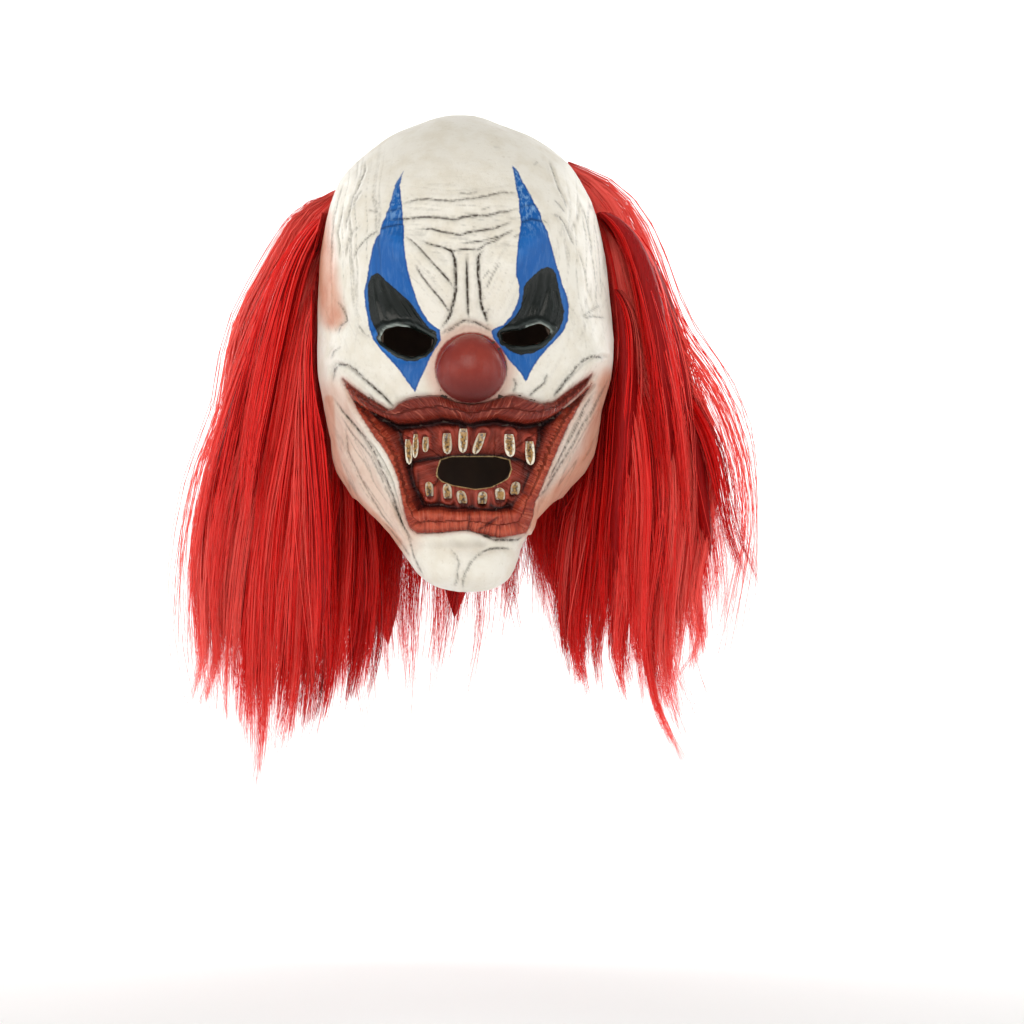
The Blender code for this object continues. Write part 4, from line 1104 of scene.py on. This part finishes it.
def backing_place(round_share, height_share, mirror, lift):
    """A point over the latex where hair is rooted, and the way out from there."""
    angle = mirror * (BACKING_FRONT + round_share * (math.pi + 0.06 - BACKING_FRONT))
    rows = np.linspace(1, len(SECTIONS) - 1, 200)
    drops = WALL - head_point(rows, np.full_like(rows, abs(angle)))[:, 2]
    row = np.interp(BACKING_TOP + (1 - height_share) * BACKING_HEIGHT, drops, rows)
    normal = head_normal(np.array(row), np.array(angle))
    return head_point(np.array(row), np.array(angle)) + normal * lift, normal


PATH_POINTS = 40


def hidden_lock(lock, number, side):
    """One of the frame's locks: its middle line, its two ways across, and its half sizes."""
    mirror, length, reach = SIDES[side]
    round_share, height, turn_share, reach_share, drop, size = lock
    root, outward = backing_place(round_share, height, mirror, HAIR_GAP)
    angle = BACKING_FRONT + turn_share * (math.pi - BACKING_FRONT)
    plan = np.array([mirror * math.sin(angle), -math.cos(angle), 0])
    stand_off = HALF_WIDTH + (reach - HALF_WIDTH) * reach_share
    tip = plan * stand_off - np.array([0, 0, length * drop])
    hang = length * drop + root[2]
    swing = (stand_off - np.hypot(*root[:2])) * 0.30 + LOCK_THICKNESS * 0.60
    first = root + outward * swing - np.array([0, 0, hang * 0.12])
    second = tip + np.array([0, 0, hang * 0.42]) - plan * swing * 0.25
    t = np.linspace(0, 1, PATH_POINTS)
    s, u = (1 - t)[:, None], t[:, None]
    line = root * s**3 + first * (3 * s * s * u) + second * (3 * s * u * u) + tip * u**3
    across = np.tile(np.cross([0, 0, 1], plan), (PATH_POINTS, 1))
    line = line + across * (LOCK_WAVE * u * np.sin(2 * math.pi * 1.3 * u + 1.9 * number))
    full = np.interp(t, np.linspace(0, 1, len(LOCK_FULLNESS)), (0.5, 0.8, 0.95, 1.0, 0.9, 0.6)) * size
    return line, across, np.tile(plan, (PATH_POINTS, 1)), LOCK_WIDTH / 2 * full, LOCK_THICKNESS * 0.4 * full


def all_locks():
    """The frame's locks, and one more between each and its next neighbour but one."""
    return [*LOCKS, *[tuple((a + b) / 2 for a, b in zip(lock, other)) for lock, other in zip(LOCKS, LOCKS[2:])]]


# %% [markdown]
# The locks that the photo shows are drawn as paths in it, from the root to the tip. Each has
# its half width in pixels, its depth at root, middle and tip, and its share of the strands.
# Outer locks are painted paler, as painted light shining through them, and inner ones darker, as painted shade: a table
# further down holds that from the outside in.

# %% Locks seen from the front
FRONT_LOCKS = {
    "left": (
        (13, (0.050, 0.030, 0.020), 1.0, ((348, 188), (332, 196), (316, 206), (303, 216), (293, 232), (284, 252), (273, 274),
         (261, 296), (248, 322), (240, 350), (238, 385), (231, 425), (220, 460), (211, 495), (203, 535), (201, 575),
         (204, 615), (206, 655), (200, 685), (188, 706))),
        (16, (0.050, 0.022, 0.015), 1.1, ((346, 194), (330, 204), (313, 224), (304, 244), (294, 268), (281, 295), (268, 322),
         (259, 352), (255, 390), (248, 430), (238, 468), (230, 505), (224, 545), (221, 590), (222, 630), (224, 670),
         (218, 700), (206, 716))),
        (16, (0.050, 0.015, 0.008), 1.1, ((343, 204), (327, 216), (318, 236), (310, 258), (302, 282), (293, 310), (283, 340),
         (275, 375), (269, 415), (262, 455), (255, 495), (248, 535), (244, 580), (242, 625), (242, 670), (240, 724))),
        (17, (0.050, 0.010, 0.000), 1.1, ((341, 220), (324, 236), (318, 256), (312, 282), (306, 312), (299, 348), (293, 385),
         (288, 425), (281, 465), (274, 505), (269, 545), (264, 590), (262, 635), (259, 680), (257, 730), (254, 776))),
        (17, (0.050, 0.012, 0.000), 1.0, ((338, 250), (322, 270), (318, 300), (315, 335), (311, 370), (308, 410), (305, 450),
         (300, 490), (295, 535), (290, 580), (287, 630), (284, 675), (280, 715), (271, 760))),
        (17, (0.055, 0.030, 0.010), 1.0, ((340, 285), (325, 310), (322, 345), (323, 385), (325, 425), (324, 465), (320, 505),
         (314, 550), (310, 595), (307, 645), (302, 695), (296, 744))),
        (16, (0.065, 0.040, 0.020), 0.9, ((340, 325), (332, 360), (334, 400), (338, 440), (341, 485), (341, 525), (338, 570),
         (334, 610), (331, 655), (327, 700), (319, 736))),
        (15, (0.070, 0.050, 0.025), 0.8, ((345, 370), (342, 410), (347, 450), (353, 490), (357, 530), (357, 575), (355, 615),
         (351, 660), (344, 706))),
        (12, (0.075, 0.055, 0.030), 0.6, ((356, 420), (358, 460), (363, 500), (368, 540), (371, 580), (370, 620), (366, 660),
         (359, 692))),
        (20, (0.045, 0.020, 0.010), 0.10, ((330, 198), (303, 210), (285, 235), (268, 268), (250, 300), (236, 335), (228, 375),
         (222, 420), (207, 455), (196, 500), (188, 560), (186, 630), (192, 690), (206, 740))),
        (26, (0.045, 0.020, 0.010), 0.10, ((325, 230), (308, 300), (290, 380), (270, 460), (250, 540), (238, 620), (232, 690),
         (250, 750), (262, 784))),
    ),
    "right": (
        (10, (0.050, 0.030, 0.020), 0.9, ((552, 162), (568, 167), (582, 174), (596, 185), (609, 198), (620, 215), (628, 236),
         (634, 262), (641, 292), (649, 322), (660, 350), (674, 372), (688, 390), (699, 408), (706, 432), (710, 462),
         (710, 495), (704, 530), (698, 562), (692, 595), (696, 620), (704, 640), (696, 660), (683, 672))),
        (15, (0.050, 0.022, 0.015), 1.1, ((556, 170), (574, 178), (590, 190), (602, 206), (612, 226), (619, 252), (626, 284),
         (635, 316), (646, 346), (659, 374), (671, 400), (681, 428), (686, 460), (688, 494), (685, 528), (680, 562),
         (675, 598), (671, 632), (666, 664), (661, 692))),
        (16, (0.050, 0.015, 0.008), 1.1, ((562, 180), (580, 190), (594, 206), (604, 228), (610, 256), (616, 290), (624, 324),
         (634, 356), (645, 386), (654, 416), (660, 450), (663, 485), (662, 520), (658, 556), (654, 592), (650, 628),
         (652, 662), (660, 698), (672, 730), (688, 756))),
        (16, (0.050, 0.010, 0.000), 1.1, ((568, 196), (588, 208), (598, 230), (604, 260), (609, 295), (616, 330), (624, 366),
         (632, 400), (638, 436), (641, 472), (641, 508), (638, 545), (635, 582), (632, 620), (632, 656), (637, 692))),
        (16, (0.050, 0.012, 0.000), 1.0, ((574, 225), (592, 245), (602, 278), (608, 315), (613, 352), (618, 390), (622, 430),
         (623, 470), (622, 508), (619, 548), (616, 588), (612, 628), (612, 662), (622, 696))),
        (15, (0.055, 0.030, 0.010), 1.0, ((582, 290), (600, 320), (606, 360), (608, 400), (608, 440), (606, 480), (602, 522),
         (598, 565), (594, 608), (592, 648), (597, 688))),
        (15, (0.065, 0.040, 0.020), 0.9, ((590, 360), (600, 395), (602, 430), (597, 468), (590, 506), (583, 545), (578, 588),
         (577, 632), (583, 674))),
        (13, (0.070, 0.050, 0.025), 0.7, ((592, 410), (592, 445), (583, 482), (573, 520), (566, 562), (565, 604), (571, 648))),
        (13, (0.030, 0.010, 0.000), 0.16, ((660, 350), (684, 392), (702, 425), (714, 460), (722, 500), (731, 535), (744, 568),
         (757, 592))),
        (24, (0.045, 0.020, 0.010), 0.12, ((566, 166), (604, 186), (630, 215), (648, 255), (664, 305), (684, 345), (706, 375),
         (724, 410), (738, 455), (744, 510), (738, 560), (728, 610), (722, 660), (708, 700))),
        (26, (0.045, 0.020, 0.010), 0.10, ((596, 210), (622, 290), (648, 370), (668, 450), (676, 530), (672, 600), (676, 660),
         (696, 710), (722, 752))),
    ),
}


# Painted light of each front lock, from the outside in: paler outside, darker inside as painted shade.
LOCK_LIGHT = (0.26, 0.20, 0.10, 0.00, -0.05, -0.10, -0.12, -0.15, -0.15, 0.30, 0.25)


def front_lock(half_width, depths, path):
    """A lock seen from the front, in the same terms as a hidden one."""
    shares = np.linspace(0, 1, len(path))
    places = [from_picture(*spot, np.interp(share, (0, 0.3, 1), depths)) for spot, share in zip(path, shares)]
    fine = smooth_rows(places, np.linspace(0, len(path) - 1, 300))
    travelled = np.concatenate([[0], np.cumsum(np.linalg.norm(np.diff(fine, axis=0), axis=1))])
    even = np.linspace(0, travelled[-1], PATH_POINTS)
    line = np.stack([np.interp(even, travelled, fine[:, axis]) for axis in range(3)], -1)
    way = np.gradient(line, axis=0)
    across = np.cross(way, [0, 1, 0])
    across /= np.linalg.norm(across, axis=1, keepdims=True)
    full = np.interp(np.linspace(0, 1, PATH_POINTS), (0, 0.15, 0.5, 0.85, 1), (0.22, 0.62, 1.0, 1.0, 0.85))
    wide = half_width * full * 2.3 / PIXELS_PER_SLOPE
    return line, across, np.tile([0, -1, 0], (PATH_POINTS, 1)), wide, np.full(PATH_POINTS, 0.010) * full


def clear_of_head(points):
    """Pushes points out of the latex where they would pass through it."""
    rows = np.linspace(1, len(SECTIONS) - 1, 200)
    table = smooth_rows(SECTIONS, rows)
    drop = WALL - points[..., 2]
    level_down = PICTURE / 2 - PIXELS_PER_SLOPE * (points[..., 2] - EYE[2]) / -EYE[1]
    edge = np.where(points[..., 0] < 0, np.interp(level_down, outline_down, outline_left),
                    np.interp(level_down, outline_down, outline_right))
    edge = np.abs(EYE[0] + (edge - PICTURE / 2) * -EYE[1] / PIXELS_PER_SLOPE)
    width = np.where(level_down < 470, edge, np.interp(drop, MASK_HEIGHT * table[:, 1], HALF_WIDTH * table[:, 3])) + 0.004
    reach = np.where(points[..., 1] > 0, np.interp(drop, MASK_HEIGHT * table[:, 2], BACK_REACH * table[:, 5]),
                     np.interp(drop, MASK_HEIGHT * table[:, 1], FRONT_REACH * table[:, 4])) + 0.003
    level = np.hypot(points[..., 0] / width, points[..., 1] / reach)
    low = drop > MASK_HEIGHT * 0.83
    push = np.where((level < 1) & ~low, 1 / np.maximum(level, 0.3), 1)
    return points * np.stack([push, push, np.ones_like(push)], -1)


# %% Strands
STRAND_POINTS = 15
STRAND_HALF_WIDTH = 0.00027
CLUMPS = 9
MOST_STRAY = 1.0
ROOM_SHARE = 0.03
ROOM_MARGIN = 0.008


def within_room(points):
    """Keeps strands inside the frame's box, widened by a share of each side and a margin."""
    low, high = np.array(cad_box[0]), np.array(cad_box[1])
    room = (high - low) * ROOM_SHARE + ROOM_MARGIN
    return np.clip(points, low - room, high + room)


def disc(random, count):
    """Random places in a unit disc."""
    turn = random.uniform(0, 2 * math.pi, count)
    return np.sqrt(random.uniform(0, 1, count))[:, None] * np.stack([np.cos(turn), np.sin(turn)], -1)


def strands_of_lock(random, lock, count, tone):
    """Middle lines of the strands in one lock, gathered in clumps that part towards the tips."""
    line, across, out, wide, deep = lock
    clump = disc(random, CLUMPS) * 0.85
    clump_phase = random.uniform(0, 2 * math.pi, (CLUMPS, 2))
    clump_end = random.uniform(0.88, 1.04, CLUMPS)
    which = random.integers(CLUMPS, size=count)
    own = disc(random, count) * 0.50
    t = np.linspace(0, 1, STRAND_POINTS)[None] ** 1.25
    end = (clump_end[which] * random.uniform(0.86, 1.0, count))[:, None]
    at = t * end
    gather = 1 - 0.60 * at**1.5
    phase = clump_phase[which]
    wander = random.normal(0, 1, (count, 2))
    kink = random.uniform(0, 2 * math.pi, (count, 2))
    stray = np.where(random.uniform(0, 1, count) < 0.07, random.normal(0, 1, count), 0)[:, None]
    stray = np.clip(stray, -MOST_STRAY, MOST_STRAY)
    place = []
    for axis in (0, 1):
        middle = clump[which, axis][:, None] * (0.8 + 0.35 * at) + own[:, axis][:, None] * gather
        middle = middle + 0.26 * at * np.sin(7.5 * at + phase[:, axis][:, None])
        middle = middle + 0.10 * at * wander[:, axis][:, None]
        middle = middle + 0.035 * at * np.sin(26 * at + kink[:, axis][:, None])
        middle = middle + 0.9 * stray * at**1.3 * np.sin(3 * at + kink[:, axis][:, None])
        place.append(middle)
    index = at * (PATH_POINTS - 1)
    low = np.minimum(index.astype(int), PATH_POINTS - 2)
    mix = (index - low)[..., None]
    follow = [table[low] * (1 - mix) + table[low + 1] * mix for table in (line, across, out, wide[:, None], deep[:, None])]
    middle, sideways, outward, half_wide, half_deep = follow
    points = middle + sideways * half_wide * place[0][..., None] + outward * half_deep * place[1][..., None]
    # Each clump's random tone plus the lock's painted light; strands further out in a lock are painted lighter and
    # those further in darker, as painted shade.
    clump_tone_and_light = random.uniform(0.38, 0.68, CLUMPS)[which] + tone
    tone_and_light = clump_tone_and_light[:, None] + 0.14 * place[1] + random.normal(0, 0.10, count)[:, None]
    return points, np.clip(tone_and_light, 0, 1)


def make_strands(locks, weights, lock_lights, count, seed):
    """Ribbons that fill some locks: their points, faces, tone with painted light and shade, and way along."""
    random = np.random.default_rng(seed)
    counts = np.round(count * np.array(weights) / sum(weights)).astype(int)
    parts = [strands_of_lock(random, lock, number, tone) for lock, number, tone in zip(locks, counts, lock_lights)]
    points = within_room(clear_of_head(np.concatenate([part[0] for part in parts])))
    tone_and_light = np.concatenate([part[1] for part in parts])
    count = len(points)
    tangent = np.gradient(points, axis=1)
    tangent /= np.maximum(np.linalg.norm(tangent, axis=-1, keepdims=True), 1e-9)
    turn = random.uniform(-1.3, 1.3, count)[:, None, None]
    out = points * [1, 1, 0] + np.array([0, -0.12, 0])
    out /= np.maximum(np.linalg.norm(out, axis=-1, keepdims=True), 1e-9)
    side = np.cross(tangent, out)
    side /= np.maximum(np.linalg.norm(side, axis=-1, keepdims=True), 1e-9)
    ways = side * np.cos(turn) + np.cross(tangent, side) * np.sin(turn)
    t = np.linspace(0, 1, STRAND_POINTS)
    thick = random.uniform(0.65, 1.35, count)[:, None] * np.interp(t, [0, 0.6, 1], [1.0, 0.9, 0.2])[None] * STRAND_HALF_WIDTH
    verts = np.stack([points - ways * thick[..., None], points + ways * thick[..., None]], axis=2).reshape(-1, 3)
    base = np.arange(count)[:, None] * STRAND_POINTS * 2 + np.arange(STRAND_POINTS - 1)[None] * 2
    faces = np.stack([base, base + 1, base + 3, base + 2], axis=-1).reshape(-1, 4)
    return verts, faces, np.repeat(tone_and_light.ravel(), 2), np.tile(np.repeat(t, 2), count)


def make_cores(locks, sizes):
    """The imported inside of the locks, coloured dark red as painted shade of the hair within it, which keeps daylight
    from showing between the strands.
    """
    sides = 14
    turn = np.linspace(0, 2 * math.pi, sides, endpoint=False)
    points, faces = [], []
    for number, ((line, across, out, wide, deep), full) in enumerate(zip(locks, sizes)):
        keep = slice(0, int(PATH_POINTS * 0.88), 2)
        rings = len(line[keep])
        taper = np.sqrt(np.clip(1 - (np.linspace(0, 1, rings) ** 3), 0, 1))
        size = full * taper[:, None] * (1 + 0.12 * np.sin(4 * turn + number)[None])
        ring = line[keep][:, None] + across[keep][:, None] * (wide[keep][:, None] * size * np.cos(turn))[..., None]
        ring = ring + out[keep][:, None] * (deep[keep][:, None] * size * np.sin(turn))[..., None]
        base = sum(len(part) for part in points)
        points.append(clear_of_head(ring).reshape(-1, 3))
        for k in range(rings - 1):
            for step in range(sides):
                a, b = base + k * sides + step, base + k * sides + (step + 1) % sides
                faces.append((a, b, b + sides, a + sides))
    return np.vstack(points), np.array(faces)


# %% [markdown]
# The fibre is modacrylic: smooth plastic, so it has a clear highlight, and a strong red dye.
# The pink of light passing through the outer strands, and the dark inside, are painted into the fibre's colour.

# %% Dyed fibre
fibre, tree, shader = new_finish("dyed_wig_fibre", Metallic=0.0, IOR=1.45, Roughness=0.42, Specular_IOR_Level=0.22)
tone_and_light = add(tree, "Attribute", attribute_name="tone_and_light").outputs["Fac"]
along = add(tree, "Attribute", attribute_name="along").outputs["Fac"]
# The ramp runs from dark red, painted shade, through the dye's red to pink, painted light through the fibre.
ramp = add(tree, "ValToRGB", {"Fac": tone_and_light})
ramp.color_ramp.elements[0].position = 0.05
ramp.color_ramp.elements[0].color = linear("#6E0303")
ramp.color_ramp.elements[1].position = 0.48
ramp.color_ramp.elements[1].color = linear("#EC1410")
top = ramp.color_ramp.elements.new(0.95)
top.color = linear("#FF6A60")
# The fibre is painted darker near the root, as painted shade under the hair that covers it.
root = add(tree, "MapRange", {0: along, 1: 0.0, 2: 0.20, 3: 0.40, 4: 0.0}).outputs[0]
tone = paint_over(tree, ramp.outputs["Color"], root, linear("#5A0408"))
tree.links.new(tone, shader.inputs["Base Color"])

# The locks' cores are painted dark red, as painted shade of the packed hair inside a lock.
shaded_core, tree, shader = new_finish("shaded_core_fibre", Metallic=0.0, IOR=1.5, Roughness=0.5, Specular_IOR_Level=0.15)
place = add(tree, "TexCoord").outputs["Object"]
lengthways = add(tree, "Mapping", {"Vector": place, "Scale": (1.0, 1.0, 0.05)}).outputs[0]
strands = add(tree, "TexNoise", {"Vector": lengthways, "Scale": 900.0, "Detail": 3.0}).outputs["Fac"]
tone = paint_over(tree, linear("#6A0507"), strands, linear("#B40E0E"))
tree.links.new(tone, shader.inputs["Base Color"])
bump = add(tree, "Bump", {"Strength": 0.8, "Distance": 0.001, "Height": strands}).outputs[0]
tree.links.new(bump, shader.inputs["Normal"])

# %% The hair
STRANDS_PER_PIECE = 6600
for seed, side in enumerate(SIDES):
    node = "hair_" + side
    back = [hidden_lock(lock, number, side) for number, lock in enumerate(all_locks())]
    front = [front_lock(half_width, depths, path) for half_width, depths, _, path in FRONT_LOCKS[side]]
    front_weights = [weight for _, _, weight, _ in FRONT_LOCKS[side]]
    thick_front = [lock for lock, weight in zip(front, front_weights) if weight > 0.5]
    core_locks = back[:len(LOCKS)] + thick_front
    core_sizes = [0.72] * len(LOCKS) + [0.46] * len(thick_front)
    made = [build(node + "_core", *make_cores(core_locks, core_sizes), [shaded_core])]
    back_weights = [0.5 + lock[2] for lock in all_locks()]
    for part, locks, weights, lock_lights in (("front", front, front_weights, LOCK_LIGHT), ("back", back, back_weights, [0.0] * len(back))):
        verts, faces, tone_and_light_value, along_value = make_strands(
            locks, weights, lock_lights, STRANDS_PER_PIECE, 20 + 2 * seed + (part == "back"))
        strands_piece = build(f"{node}_{part}", verts, faces, [fibre])
        keep_values(strands_piece, {"tone_and_light": tone_and_light_value, "along": along_value})
        made.append(strands_piece)
    for piece in made:
        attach(piece, "root")
        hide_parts(node)
print("hair strands:", STRANDS_PER_PIECE * 4)

# %% [markdown]
# ## The studio
# A pale sheet that curves up behind, a big soft light in front, and two strips from behind
# the sides, which light up the edges of the hair.

# %% The floor and the lights
FLOOR = -0.52
sweep_points, sweep_faces = [], []
profile = [(-4.0, FLOOR), (2.0, FLOOR)] + [
    (2.0 + 1.5 * math.sin(k * math.pi / 24), FLOOR + 1.5 - 1.5 * math.cos(k * math.pi / 24)) for k in range(1, 13)
] + [(3.5, 5.0)]
for y, z in profile:
    sweep_points += [(-6, y, z), (6, y, z)]
for k in range(len(profile) - 1):
    sweep_faces.append((2 * k, 2 * k + 1, 2 * k + 3, 2 * k + 2))
paper, tree, shader = new_finish("backdrop_paper", Roughness=0.9, Metallic=0.0)
shader.inputs["Base Color"].default_value = linear("#F4F4F4")
sweep = build("backdrop", np.array(sweep_points, float), np.array(sweep_faces), [paper])

LIGHTS = {
    # name        place               width height power colour
    "key": ((-0.25, -2.05, 0.85), 1.5, 1.2, 20, "#FFFAF2"),
    "side_left": ((-1.7, -1.5, 0.2), 0.9, 1.4, 7, "#FFFFFF"),
    "side_right": ((1.7, -1.5, 0.2), 0.9, 1.4, 6, "#FFFFFF"),
    "strip_left": ((-1.25, -0.25, -0.05), 0.10, 1.0, 1.8, "#FFFFFF"),
    "strip_right": ((1.25, -0.25, -0.05), 0.10, 1.0, 1.8, "#FFFFFF"),
    "rim_left": ((-1.1, 1.0, 0.15), 0.5, 1.3, 11, "#FFFFFF"),
    "rim_right": ((1.1, 1.0, 0.15), 0.5, 1.3, 11, "#FFFFFF"),
    "backdrop_light": ((0.0, 1.3, 1.9), 2.4, 1.6, 85, "#FFFFFF"),
}
for name, (spot, width, height, power, tint) in LIGHTS.items():
    light = bpy.data.lights.new(name, "AREA")
    light.shape = "RECTANGLE"
    light.size = width
    light.size_y = height
    light.energy = power
    light.color = linear(tint)[:3]
    lamp = bpy.data.objects.new(name, light)
    lamp.location = spot
    aim = Vector((0, 3.5, 0.4)) if name == "backdrop_light" else Vector((0, 0, -0.18))
    lamp.rotation_euler = (aim - Vector(spot)).to_track_quat("-Z", "Y").to_euler()
    bpy.context.scene.collection.objects.link(lamp)

world = bpy.data.worlds.new("studio")
world.use_nodes = True
world.node_tree.nodes["Background"].inputs["Color"].default_value = (1, 1, 1, 1)
world.node_tree.nodes["Background"].inputs["Strength"].default_value = 0.42
bpy.context.scene.world = world
